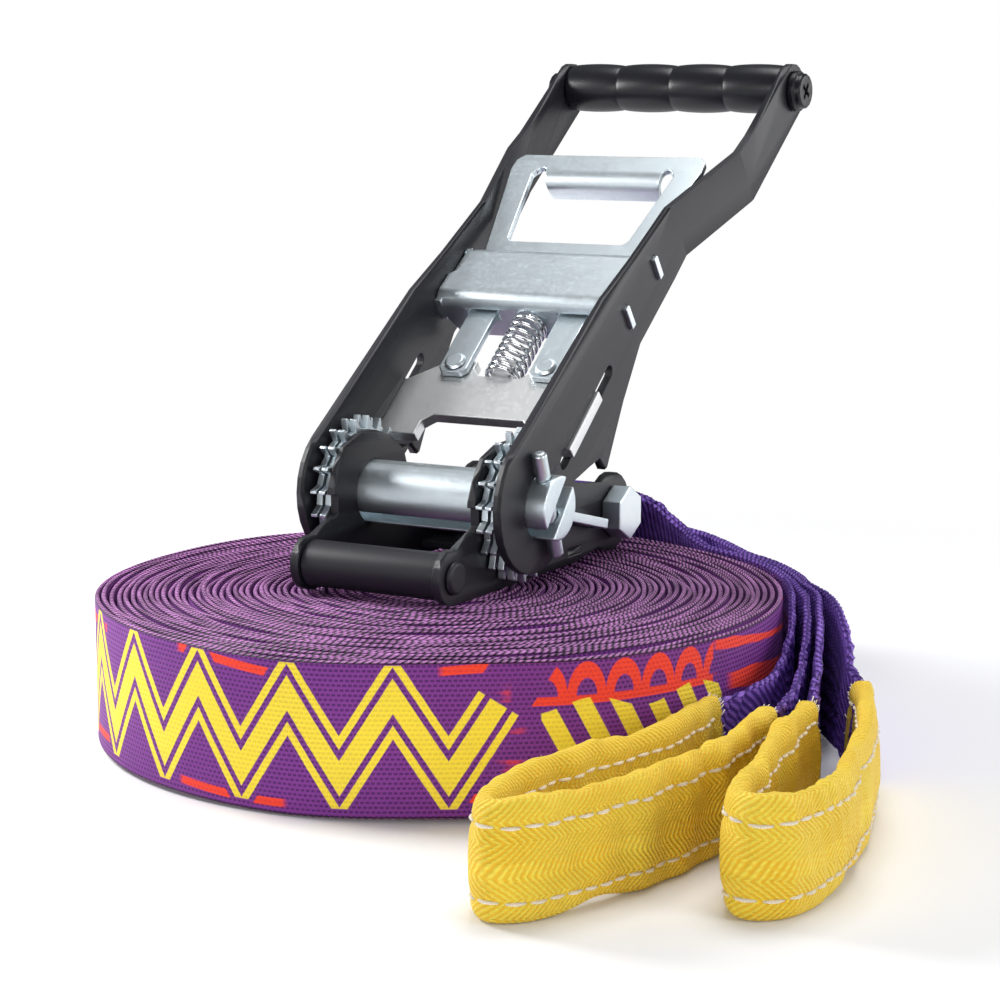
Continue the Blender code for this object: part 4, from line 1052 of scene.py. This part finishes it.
@dataclass
class Coil:
    """The line, wound on edge round its own start.

    Attributes:
        layout: where things stand.
        turns: number of layers.
        stations: points round each layer.
        thick: thickness of the wound webbing.
        heart: radius of the hollow in the middle.
        lift: how far the layers stand off the ground on average.
        top: height that no layer stands above.
    """

    layout: Layout
    turns: int = 48
    stations: int = 220
    thick: float = 0.00166
    heart: float = 0.0142
    lift: float = 0.0008
    top: float = 0.0502

    def slack(self, turn: Array, angle: Array) -> Array:
        """How far layers crowd together or part.

        Args:
            turn: number of layers wound outside this place.
            angle: direction from the centre.

        Returns:
            The shift inwards in metres.
        """
        most, longest = 0.00105, 8.7
        shift = np.zeros_like(turn)
        for step, seed in ((3.1, 3), (5.3, 8), (longest, 21)):
            drift = waves(seed, 3, 2.0, 6.0)(np.cos(angle) * 1.7 + seed) + waves(seed + 1, 3, 2.0, 6.0)(
                np.sin(angle) * 1.7)
            part = np.mod(turn / step + 0.30 * drift, 1.0)
            rise = np.where(part < 0.82, part / 0.82, (1 - part) / 0.18)
            shift += most * rise * (step / longest)
        fade = np.clip(turn / 2.5, 0, 1) * np.clip((self.turns - turn) / 3, 0, 1)
        return shift * fade

    def build(self) -> None:
        """Wind the coil and show it."""
        turn = np.arange(self.turns * self.stations + 1) / self.stations
        angle = COIL_END + TAU * turn
        pitch = (COIL_RADIUS - self.heart) / self.turns
        radius = COIL_RADIUS - self.thick / 2 - 0.0001 - pitch * turn - self.slack(turn, angle) * 0.75
        ripple = waves(5, 6, 0.9, 5.0)(angle + turn * 1.3) * 0.00012
        radius = radius + ripple * np.clip(turn / 2, 0, 1)
        height = waves(11, 8, 0.35, 2.6)(turn * 1.9) * 0.5 + waves(12, 6, 0.5, 3.0)(angle) * 0.5
        lift = self.lift * (1 + np.clip(1.3 * height, -1, 1))
        width = WEB_WIDTH - 0.0014 + 0.0002 * waves(13, 6, 0.7, 4.0)(turn * 2.3)
        side = np.stack([np.cos(angle), np.sin(angle), np.zeros_like(angle)], -1)
        places = self.layout.centre + side * radius[:, None]
        places[:, 2] = np.minimum(places[:, 2] + lift + width / 2, self.top - width / 2)
        weaver = Weaver(rows=3)
        mesh = weaver.strip("webbing_coil_layers", places, side, np.array([0.0, 0.0, 1.0]), self.thick, width)
        numbers = np.zeros(len(mesh.polygons), np.int32)
        mesh.polygons.foreach_get("material_index", numbers)
        outermost = self.stations * 2 * (weaver.rows + weaver.rounds)
        numbers[:outermost][numbers[:outermost] == 0] = 3
        mesh.polygons.foreach_set("material_index", numbers)
        coil = show("coil_layers", mesh, "kit", ("webbing_coil",), Finish.FACE, Finish.SELVEDGE, Finish.FACE,
                    Finish.PRINTED)


def cloth_name(node: str) -> str:
    """Name of the cloth that stands for a node."""
    return node.replace("_inner", "_in").replace("_outer", "_out") + "_cloth"


@dataclass
class Straps:
    """The line's free end, the ratchet's strap, their looped legs and the eye on the anchor bolt.

    Attributes:
        layout: where things stand.
        step: distance between stations.
        single: extra thickness of a leg, which is sewn through.
        cord: pitch of the webbing's cords.
        weaver: makes the strips.
    """

    layout: Layout
    step: float = 0.0009
    single: float = 0.0004
    cord: float = 0.0030
    weaver: Weaver = field(default_factory=lambda: Weaver(rows=9))

    def rim(self, radius: float, start: float, end: float, *more: float) -> list[tuple[float, ...]]:
        """Places along the coil's rim between two angles in degrees."""
        steps = max(1, round((start - end) / 7.5))
        turns = [math.radians(start + (end - start) * i / steps) for i in range(steps + 1)]
        return [(radius * math.cos(t), radius * math.sin(t), MIDDLE, *more) for t in turns]

    def push(self, along: Array, side: Array, up: Array, gather: Array, seed: int) -> Array:
        """Pleats and cords of a tape, as a push of every point.

        Args:
            along: metres along the tape at each station.
            side: the direction across its thickness.
            up: the direction across its width.
            gather: how far the tape is gathered, from 0 to 1.
            seed: fixes its pleats.

        Returns:
            The push, shape (stations, points, 3).
        """
        pleat, rib = 0.00085, 0.00030
        v = np.linspace(0, TAU, 2 * (self.weaver.rows + self.weaver.rounds), endpoint=False)
        pleats = np.sin(v * 3 + 9 * waves(seed + 7, 4, 0.03, 0.09)(along)[:, None])
        cords = np.sin(TAU * (along[:, None] + v / TAU * 0.04) / self.cord)
        stand = (pleat * gather[:, None] * pleats + rib * cords) * np.cos(v)
        rise = rib * cords * np.sin(v)
        return side[:, None, :] * stand[:, :, None] + up[:, None, :] * rise[:, :, None]

    def tape(self, node: str, line: Array, layers: int, width: Array, seed: int,
             turn: Array | None = None, bow: float = 0.0) -> None:
        """Weave one or two layers along a line and show them.

        Args:
            node: the model's node that they stand for.
            line: middle line from the coil's centre.
            layers: one or two.
            width: width at each station.
            seed: fixes its small waves.
            turn: lean of the tape in radians.
            bow: how far it curls across its width where it is gathered.
        """
        name = cloth_name(node)
        places = line[:, :3] + self.layout.centre
        side, up = upright(places, turn)
        along = travelled(places)
        thick = CLOTH_THICK + (self.single if layers == 1 else 0.0)
        gather = np.clip((WEB_WIDTH - width) / (WEB_WIDTH * 0.38), 0, 1)
        push = self.push(along, side, up, gather, seed)
        meshes = []
        for layer in range(layers):
            shift = (layer - (layers - 1) / 2) * (WEB_THICK + 0.00002)
            wave = waves(seed + layer, 6, 0.010, 0.045)(along) * (0.00006 + 0.0005 * gather)
            middle = places + side * (shift + wave)[:, None]
            meshes.append(self.weaver.strip(name, middle, side, up, thick, width, bow * gather, push))
        self.dress(name, joined(name, meshes), node)

    def dress(self, name: str, mesh: Mesh, node: str) -> None:
        """Show a strap."""
        piece = show(name, mesh, "kit", (node,), Finish.CORDED, Finish.CORD_EDGE, Finish.CORDED)

    def leg(self, node: str, angle: float, radius: float, route: tuple, mouth: tuple, seed: int) -> None:
        """One leg of a sewn loop, from the split into the mouth of its sleeve.

        Args:
            node: the model's node.
            angle: where it leaves the rim, in degrees.
            radius: its distance from the coil's centre there.
            route: places on its way.
            mouth: the sleeve's end and the next place inside it.
            seed: fixes its small waves.
        """
        low, shrink = 0.017, 0.42
        start = math.radians(angle) - 0.0006 / radius
        places = [(radius * math.cos(start), radius * math.sin(start), MIDDLE)]
        for i, place in enumerate(route):
            places.append((*place, MIDDLE + (low - MIDDLE) * float(eased((i + 1) / len(route)))))
        end, inside = np.array(mouth)
        places += [(*end, low), (*(end + unit(inside - end) * 0.007), low)]
        line = flowing(places, self.step)
        share = np.linspace(0, 1, len(line))
        width = WEB_WIDTH * (1 - shrink * eased(np.clip(share * 1.12, 0, 1)))
        self.tape(node, line, 1, np.minimum(width, 2 * line[:, 2] - 0.0006), seed, bow=0.0022)

    def eye(self) -> None:
        """The strap's sewn eye round the anchor bolt's sleeve."""
        hub, wrap = self.layout.hub, BOLT_SLEEVE + WEB_THICK / 2
        back, lift, apart = 0.0960, STRAP_TOP - self.layout.ratchet.z, WEB_THICK / 2 + 0.0003
        turns = [math.radians(65 + 230 * i / 24) for i in range(25)]
        ring = [(BOLT_PLACE[0] + wrap * math.cos(t), BOLT_PLACE[1] + wrap * math.sin(t)) for t in turns]
        tail = [(back, lift), (back - 0.004, lift)]
        route = [(y, z + apart) for y, z in tail] + ring + [(y, z - apart) for y, z in tail[::-1]]
        line = flowing([(hub.x, hub.y + y, hub.z + z) for y, z in route], 0.0012)
        up = np.array([1.0, 0.0, 0.0])
        side = unit(np.cross(unit(np.gradient(line, axis=0)), up))
        name = cloth_name("strap_eye")
        mesh = self.weaver.strip(name, line, side, up, CLOTH_THICK, EYE_WIDTH)
        self.dress(name, mesh, "strap_eye")

    def build(self) -> None:
        """Weave and lay all the straps."""
        full, outer = WEB_WIDTH - 0.0004, COIL_RADIUS - BAND / 2
        start = COIL_END - 0.0009 / COIL_RADIUS
        first = (outer * math.cos(start), outer * math.sin(start))
        knots = [(*place, MIDDLE) for place in (first, *TAIL_ROUTE)] + self.rim(TAIL_RIM, 58.5, 32)
        line = flowing(knots, self.step)
        self.tape("line_tail", line, 2, np.full(len(line), full), 31)

        knots = [(x, y, MIDDLE + share * (STRAP_TOP - MIDDLE), turn, gather)
                 for x, y, share, turn, gather in STRAP_ROUTE]
        strap = STRAP_RIM + BAND / 2
        line = flowing(knots + self.rim(strap, 66, 36, 0, 1), self.step)
        self.tape("ratchet_strap", line, 2, full * line[:, 4], 47, np.radians(line[:, 3]))

        apart = (WEB_THICK + 0.0003) / 2
        self.leg("line_leg_inner", 32, TAIL_RIM - apart, LINE_LEG_IN, LINE_SLEEVE[:2], 61)
        self.leg("line_leg_outer", 32, TAIL_RIM + apart, LINE_LEG_OUT, LINE_SLEEVE[:-3:-1], 67)
        self.leg("strap_leg_inner", 36, strap - apart, STRAP_LEG_IN, STRAP_SLEEVE[:2], 71)
        self.leg("strap_leg_outer", 36, strap + apart, STRAP_LEG_OUT, STRAP_SLEEVE[:-3:-1], 79)
        self.eye()


@dataclass
class Sleeve:
    """A yellow sleeve of tubular webbing, folded over a loop and sewn through along both edges.

    Attributes:
        layout: where things stand.
        node: the model's node.
        route: its middle line on the ground, from the coil's centre.
        seed: fixes its folds.
        height: height of the folded sleeve.
        thick: its usual thickness.
        step: distance between stations.
        points: points round each section.
        seams: heights of the hollows that the seams pull in.
        rows: heights of the stitches.
        mouth: depth and narrowing of the steps inside its open ends.
    """

    layout: Layout
    node: str
    route: tuple
    seed: int
    height: float = 0.0345
    thick: float = 0.0064
    step: float = 0.0011
    points: int = 48
    seams: tuple[float, float] = (0.0270, 0.0060)
    rows: tuple[float, float] = (0.0270, 0.0062)
    mouth: tuple[tuple[float, float], ...] = ((0.0004, 0.90), (0.0024, 0.78), (0.0050, 0.70))

    def grid(self) -> tuple[Array, Array, Array]:
        """Points of the sleeve's cloth.

        Returns:
            Points by station and section point, metres along, and metres round the section.
        """
        line = flowing([(*place, 0.0) for place in self.route], self.step) + self.layout.centre
        side, _ = upright(line)
        along = travelled(line)
        total = along[-1]
        bend = np.abs(np.gradient(np.unwrap(np.arctan2(side[:, 1], side[:, 0])), along))
        tight = np.clip(bend / 60, 0, 1)
        flare = np.exp(-np.minimum(along, total - along) / 0.004)
        swell = 1 + 0.26 * waves(self.seed, 7, 0.014, 0.06)(along)
        half = self.thick / 2 * swell * (1 + 0.30 * tight) * (1 + 0.10 * flare)
        top = self.height * (0.985 + 0.030 * waves(self.seed + 1, 6, 0.02, 0.10)(along)) - 0.0008 * flare
        low = 0.00015 + 0.0024 * np.exp(-((along - 0.62 * total) / 0.010) ** 2)

        t = TAU * np.arange(self.points) / self.points
        c, s = np.cos(t), np.sin(t)
        x_share = np.sign(c) * np.abs(c) ** 0.55
        z_share = (np.sign(s) * np.abs(s) ** 0.62 + 1) / 2
        fold = waves(self.seed + 2, 6, 0.006, 0.024)
        crease = fold(along[:, None] + z_share * 0.012) * (0.45 + 0.55 * tight[:, None])
        seam = sum(np.exp(-((z_share * self.height - level) / 0.0016) ** 2) for level in self.seams)
        lean = 0.0017 * waves(self.seed + 3, 4, 0.04, 0.14)(along)
        x = (half[:, None] * x_share + x_share * 0.00090 * crease) * (1 - 0.20 * seam)
        x = x + lean[:, None] * (z_share - 0.3)
        z = low[:, None] + (top - low)[:, None] * z_share
        z = z + 0.00035 * fold(along * 1.3 + 2)[:, None] * (z_share > 0.85)
        points = line[:, None, :] + side[:, None, :] * x[:, :, None]
        points[:, :, 2] = self.layout.centre[2] + np.maximum(z, 0.0001)
        return points, along, travelled(points[len(points) // 3])

    def seam_line(self, points: Array, columns: list[int], level: float) -> Array:
        """Line at one height along one face of the sleeve."""
        rings = [ring[np.argsort(ring[:, 2])] for ring in points[:, columns]]
        return np.array([sampled(level, ring[:, 2] - self.layout.centre[2], ring) for ring in rings])

    def stitches(self, points: Array, along: Array) -> Mesh:
        """Sewn rows on both faces of the sleeve, with the loose yarns of its ends."""
        stitch, apart, yarn, margin = 0.0044, 0.0013, 0.00056, 0.004
        parts = []
        middle = points.mean(axis=1)
        quarter, half = self.points // 4, self.points // 2
        t = np.linspace(0, 1, 7)
        arc = np.sin(math.pi * t)
        for columns in (list(range(-quarter + 1, quarter)), list(range(quarter + 1, quarter + half))):
            for level in self.rows:
                row = self.seam_line(points, columns, level)
                out = unit((row - middle) * [1, 1, 0])
                place = margin
                luck = random.Random(self.seed + int(level * 1e5))
                while place < along[-1] - 0.005:
                    reach = stitch + luck.uniform(-0.0004, 0.0004)
                    spots, push = (sampled(place + reach * t, along, lane) for lane in (row, out))
                    spots[:, 2] += luck.uniform(-0.00025, 0.00025)
                    stand = (0.00055 * arc - 0.00010)[:, None]
                    parts.append((spots + push * stand, yarn * (0.62 + 0.38 * arc)))
                    place += reach + apart
        return tubes_mesh(self.node + "_stitches", parts + self.fray(points), 6)

    def fray(self, points: Array) -> list[tuple[Array, Array]]:
        """Short loose yarns at the sleeve's cut ends.

        Args:
            points: the cloth's points by station and section point.

        Returns:
            The yarns' lines and radii.
        """
        luck = random.Random(self.seed + 5)
        yarns = []
        t = np.linspace(0, 1, 5)[:, None]
        for end, inward in ((0, 1), (-1, -2)):
            middle = points[end].mean(axis=0)
            ahead = unit(middle - points[inward].mean(axis=0))
            for root in points[end]:
                if luck.random() < 0.35 or root[2] - self.layout.centre[2] < 0.002:
                    continue
                out = unit(root - middle)
                reach = luck.uniform(0.0008, 0.0024)
                splay = out * luck.uniform(0.0, 0.0009) + np.array([0, 0, luck.uniform(-0.0006, 0.0006)])
                line = root - ahead * 0.0006 - out * 0.0002 + ahead * (reach + 0.0006) * t + splay * t * t
                yarns.append((line, np.full(5, luck.uniform(0.00014, 0.00024))))
        return yarns

    def build(self) -> None:
        """Make the sleeve with its stitches and the open mouths at its ends."""
        points, along, around = self.grid()
        mouths = []
        for end, inward in ((0, 1), (-1, -2)):
            ring = points[end]
            middle = ring.mean(axis=0)
            ahead = unit(points[inward].mean(axis=0) - middle)
            mouths.append([middle + (ring - middle) * [share, share, 0.5 + share / 2] + ahead * deep
                           for deep, share in self.mouth])
        whole = np.concatenate([mouths[0][::-1], points, mouths[1]])
        deep = np.array([step for step, _ in self.mouth])
        u = np.concatenate([along[0] - deep[::-1], along, along[-1] + deep])
        mesh = Weaver(rows=self.points // 2 - 5).skin(self.node + "_cloth", whole, u, around)
        mesh.polygons.foreach_set("material_index", np.zeros(len(mesh.polygons), np.int32))
        piece = show(self.node + "_cloth", mesh, "kit", (self.node,), Finish.SLEEVE)
        show(self.node + "_stitches", self.stitches(points, along), "kit", (), Finish.THREAD)
        LOG.info("%s: %.0f mm long", self.node, 1000 * along[-1])


# ---------------------------------------------------------------- the ratchet


def both(name: str) -> tuple[str, str]:
    """The left and the right piece of a pair."""
    return name.format("left"), name.format("right")


WORKED = (
    (Finish.ZINC, 0.0005, ("anchor_bolt", "anchor_nut", "release_lever", "spindle_half_lower",
                           "spindle_half_upper")),
    (Finish.ZINC, 0.0004, ("lock_pawl", "bridge_plate")),
    (Finish.ZINC, 0.0003, (*both("spindle_pin_{}"), *both("pawl_rivet_{}"))),
    (Finish.ZINC, 0.0002, ("anchor_sleeve", *both("ratchet_wheel_{}_inner"), *both("ratchet_wheel_{}_outer"),
                           *both("wheel_washer_{}"))),
    (Finish.ZINC, 0.0, both("wheel_spacer_{}")),
    (Finish.COAT, 0.0, ("frame_floor", *both("frame_plate_{}"), *both("handle_plate_{}"))),
    (Finish.COAT, 0.0004, ("front_bar",)),
    (Finish.GRIP, 0.0004, both("grip_screw_{}")),
    (Finish.SATIN, 0.0004, ("drive_pawl",)),
    (Finish.SATIN, 0.0003, ("grip_rod",)),
    (Finish.WIRE, 0.0001, ("lock_spring",)),
)


@dataclass
class Ratchet:
    """The ratchet's metal pieces and its grip.

    Attributes:
        layout: where things stand.
    """

    layout: Layout

    def grip(self) -> None:
        """The moulded grip with its shallow finger grooves."""
        low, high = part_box("handle_grip")
        middle, reach = (low + high) / 2, (high.x - low.x) / 2
        radius, bore, sides, steps, raised = 0.0095, 0.0043, 72, 180, 0.0008
        grooves, groove, corner, rounded = 4, 0.0009, 0.0009, 0.0007
        along = np.linspace(-reach, reach, steps + 1)
        wave = np.abs(np.sin(math.pi * grooves * (along + reach) / (2 * reach))) ** 0.55
        end = np.clip((reach - np.abs(along)) / corner, 0, 1)
        outer = radius - groove * (1 - wave) - rounded * (1 - np.sqrt(1 - (1 - end) ** 2))
        rings = [(-reach, bore, 0.0), *((x, r, raised) for x, r in zip(along, outer)), (reach, bore, 0.0)]
        points = [(middle.x + x, middle.y + r * math.cos(t), middle.z + r * math.sin(t) + lift)
                  for x, r, lift in rings for t in TAU * np.arange(sides) / sides]
        count = len(rings)
        faces = [[i * sides + j, (i + 1) % count * sides + j, (i + 1) % count * sides + (j + 1) % sides,
                  i * sides + (j + 1) % sides] for i in range(count) for j in range(sides)]
        mesh = smooth_mesh("handle_grip_moulded", points, faces)
        mesh.set_sharp_from_angle(angle=math.radians(50))
        show("handle_grip_moulded", mesh, "handle", ("handle_grip",), Finish.GRIP)

    def spring(self) -> None:
        """The pawl's compression spring, with closed end turns, in one fixed shape; the real one gives way as
        the pawl slides.
        """
        frame_of = self.layout.pawl()
        foot, top, curls, radius, wire = 0.03065, 0.05670, 8.0, 0.0060, 0.00078
        closed, start = 0.07, 0.0006
        t = np.linspace(0, 1, 380)
        angle = TAU * (curls + 1.2) * t
        risen = np.clip((t - closed) / (1 - 2 * closed), 0, 1)
        along = foot + (top - foot) * risen + start * np.minimum(t / closed, 1)
        line = np.stack([radius * np.cos(angle), along, radius * np.sin(angle)], -1)
        line = np.array([frame_of @ Vector(place) for place in line])
        mesh = tubes_mesh("drive_spring_wire", [(line, np.full(len(line), wire))], 10)
        piece = show("drive_spring_wire", mesh, "handle", ("drive_spring",), Finish.WIRE)
        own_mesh(piece)

    def build(self) -> None:
        """Work and dress every metal piece."""
        pieces = {node: worked(node, finish, edge) for finish, edge, nodes in WORKED for node in nodes}
        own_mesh(pieces["lock_spring"])
        self.grip()
        self.spring()


# ---------------------------------------------------------------- the studio


def aimed(name: str, data: bpy.types.ID, place: Vector, ahead: Vector) -> bpy.types.Object:
    """Put a light or a camera into the scene.

    Args:
        name: its name.
        data: its data.
        place: where it stands.
        ahead: the direction it looks in.

    Returns:
        The object.
    """
    holder = placed(name, data)
    holder.location = place
    holder.rotation_euler = ahead.to_track_quat("-Z", "Y").to_euler()
    return holder


@dataclass(frozen=True)
class Softbox:
    """One soft studio light.

    Attributes:
        name: its name.
        place: where it hangs.
        aim: what it points at.
        size: width and height.
        power: its power in watts.
    """

    name: str
    place: tuple[float, float, float]
    aim: tuple[float, float, float]
    size: tuple[float, float]
    power: float

    def hang(self) -> None:
        """Put the light into the studio."""
        lamp = bpy.data.lights.new(self.name, "AREA")
        lamp.shape = "RECTANGLE"
        lamp.size, lamp.size_y = self.size
        lamp.energy = self.power
        holder = aimed(self.name, lamp, Vector(self.place), Vector(self.aim) - Vector(self.place))
        holder.visible_camera = False


@dataclass
class Studio:
    """Pale floor, white surround, soft lights and the camera.

    Attributes:
        layout: where things stand.
        camera_place: the camera's place from the coil's centre.
        heading: its direction on the ground.
        pitch: how far it looks down, in degrees.
        lens: its focal length in millimetres on a 36 mm sensor.
        surround_light: strength of the surround.
        floor_light: strength of the floor's own glow.
        floor_white: distances between which the floor goes over into white.
        floor_reach: half the floor's width.
        boxes: the lights.
    """

    layout: Layout
    camera_place: tuple[float, float, float] = (0.44458, -0.74547, 0.22517)
    heading: tuple[float, float] = (-0.4924, 0.8704)
    pitch: float = 9.56
    lens: float = 93.6
    surround_light: float = 0.19
    floor_light: float = 0.02
    floor_white: tuple[float, float] = (0.27, 0.50)
    floor_reach: float = 30.0
    boxes: tuple[Softbox, ...] = (
        Softbox("key_box", (-0.42, -0.10, 0.30), (-0.13, -0.03, 0.05), (0.2, 0.2), 2.7),
        Softbox("top_box", (0.0, 0.24, 1.25), (0.0, 0.0, 0.05), (0.7, 0.6), 9.5),
        Softbox("right_box", (1.05, -0.15, 0.42), (0.0, 0.0, 0.08), (0.5, 0.6), 4.0),
        Softbox("back_box", (0.80, 0.90, 0.32), (0.05, 0.1, 0.14), (0.8, 0.5), 5.0),
        Softbox("front_box", (0.05, -1.25, 0.30), (0.0, 0.0, 0.05), (1.1, 0.35), 6.0),
    )

    def camera(self) -> None:
        """Stand the camera where the photograph was taken."""
        data = bpy.data.cameras.new("studio_camera")
        data.lens = self.lens
        data.sensor_width = 36.0
        data.clip_end = 60.0
        down = math.radians(self.pitch)
        ahead = Vector((self.heading[0] * math.cos(down), self.heading[1] * math.cos(down), -math.sin(down)))
        place = Vector(self.layout.centre) + Vector(self.camera_place)
        bpy.context.scene.camera = aimed("studio_camera", data, place, ahead)

    def surround(self) -> None:
        """A soft grey studio for reflections that the camera itself sees as white."""
        graph = Graph(bpy.data.worlds.new("studio_surround"))
        bpy.context.scene.world = graph.owner
        soft = {"Color": (0.93, 0.96, 1.0), "Strength": self.surround_light}
        graph.close(graph.node("ShaderNodeMixShader", {
            0: graph.node("ShaderNodeLightPath", output="Is Camera Ray"),
            1: graph.node("ShaderNodeBackground", soft),
            2: graph.node("ShaderNodeBackground", {"Color": WHITE, "Strength": 1.0}),
        }), "ShaderNodeOutputWorld")

    def floor(self) -> None:
        mesh = bpy.data.meshes.new("studio_floor")
        reach = self.floor_reach
        corners = [(x * reach, y * reach, 0) for x, y in ((-1, -1), (1, -1), (1, 1), (-1, 1))]
        mesh.from_pydata(corners, [], [[0, 1, 2, 3]])
        graph = Graph(bpy.data.materials.new("studio_floor"))
        pale = graph.node("ShaderNodeBsdfDiffuse", {"Color": (0.86, 0.86, 0.87)})
        glow = graph.node("ShaderNodeEmission", {"Color": WHITE, "Strength": self.floor_light})
        both_lit = graph.node("ShaderNodeAddShader", {0: pale, 1: glow})
        white = graph.node("ShaderNodeEmission", {"Color": WHITE, "Strength": 1.0})
        away = graph.node("ShaderNodeVectorMath", {0: graph.body_place()}, "Value", operation="LENGTH")
        near = graph.node("ShaderNodeMixShader", {0: away.ramp(*self.floor_white), 1: both_lit, 2: white})
        seen = graph.node("ShaderNodeLightPath", output="Is Camera Ray")
        graph.close(graph.node("ShaderNodeMixShader", {0: seen, 1: pale, 2: near}))
        mesh.materials.append(graph.owner)
        placed("studio_floor", mesh)

    def build(self) -> None:
        """Set up the whole studio."""
        bpy.context.scene.view_settings.view_transform = "Standard"
        self.camera()
        self.surround()
        self.floor()
        for box in self.boxes:
            box.hang()


def main() -> None:
    logging.basicConfig(level=logging.INFO, format="%(name)s: %(message)s")
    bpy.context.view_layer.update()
    layout = find_layout()
    LOG.info("spindle axis at %s", tuple(round(part, 5) for part in layout.hub))
    Studio(layout).build()
    Coil(layout).build()
    Straps(layout).build()
    Sleeve(layout, "line_loop_sleeve", LINE_SLEEVE, 101).build()
    Sleeve(layout, "ratchet_loop_sleeve", STRAP_SLEEVE, 131).build()
    Ratchet(layout).build()


if __name__ == "__main__":
    main()
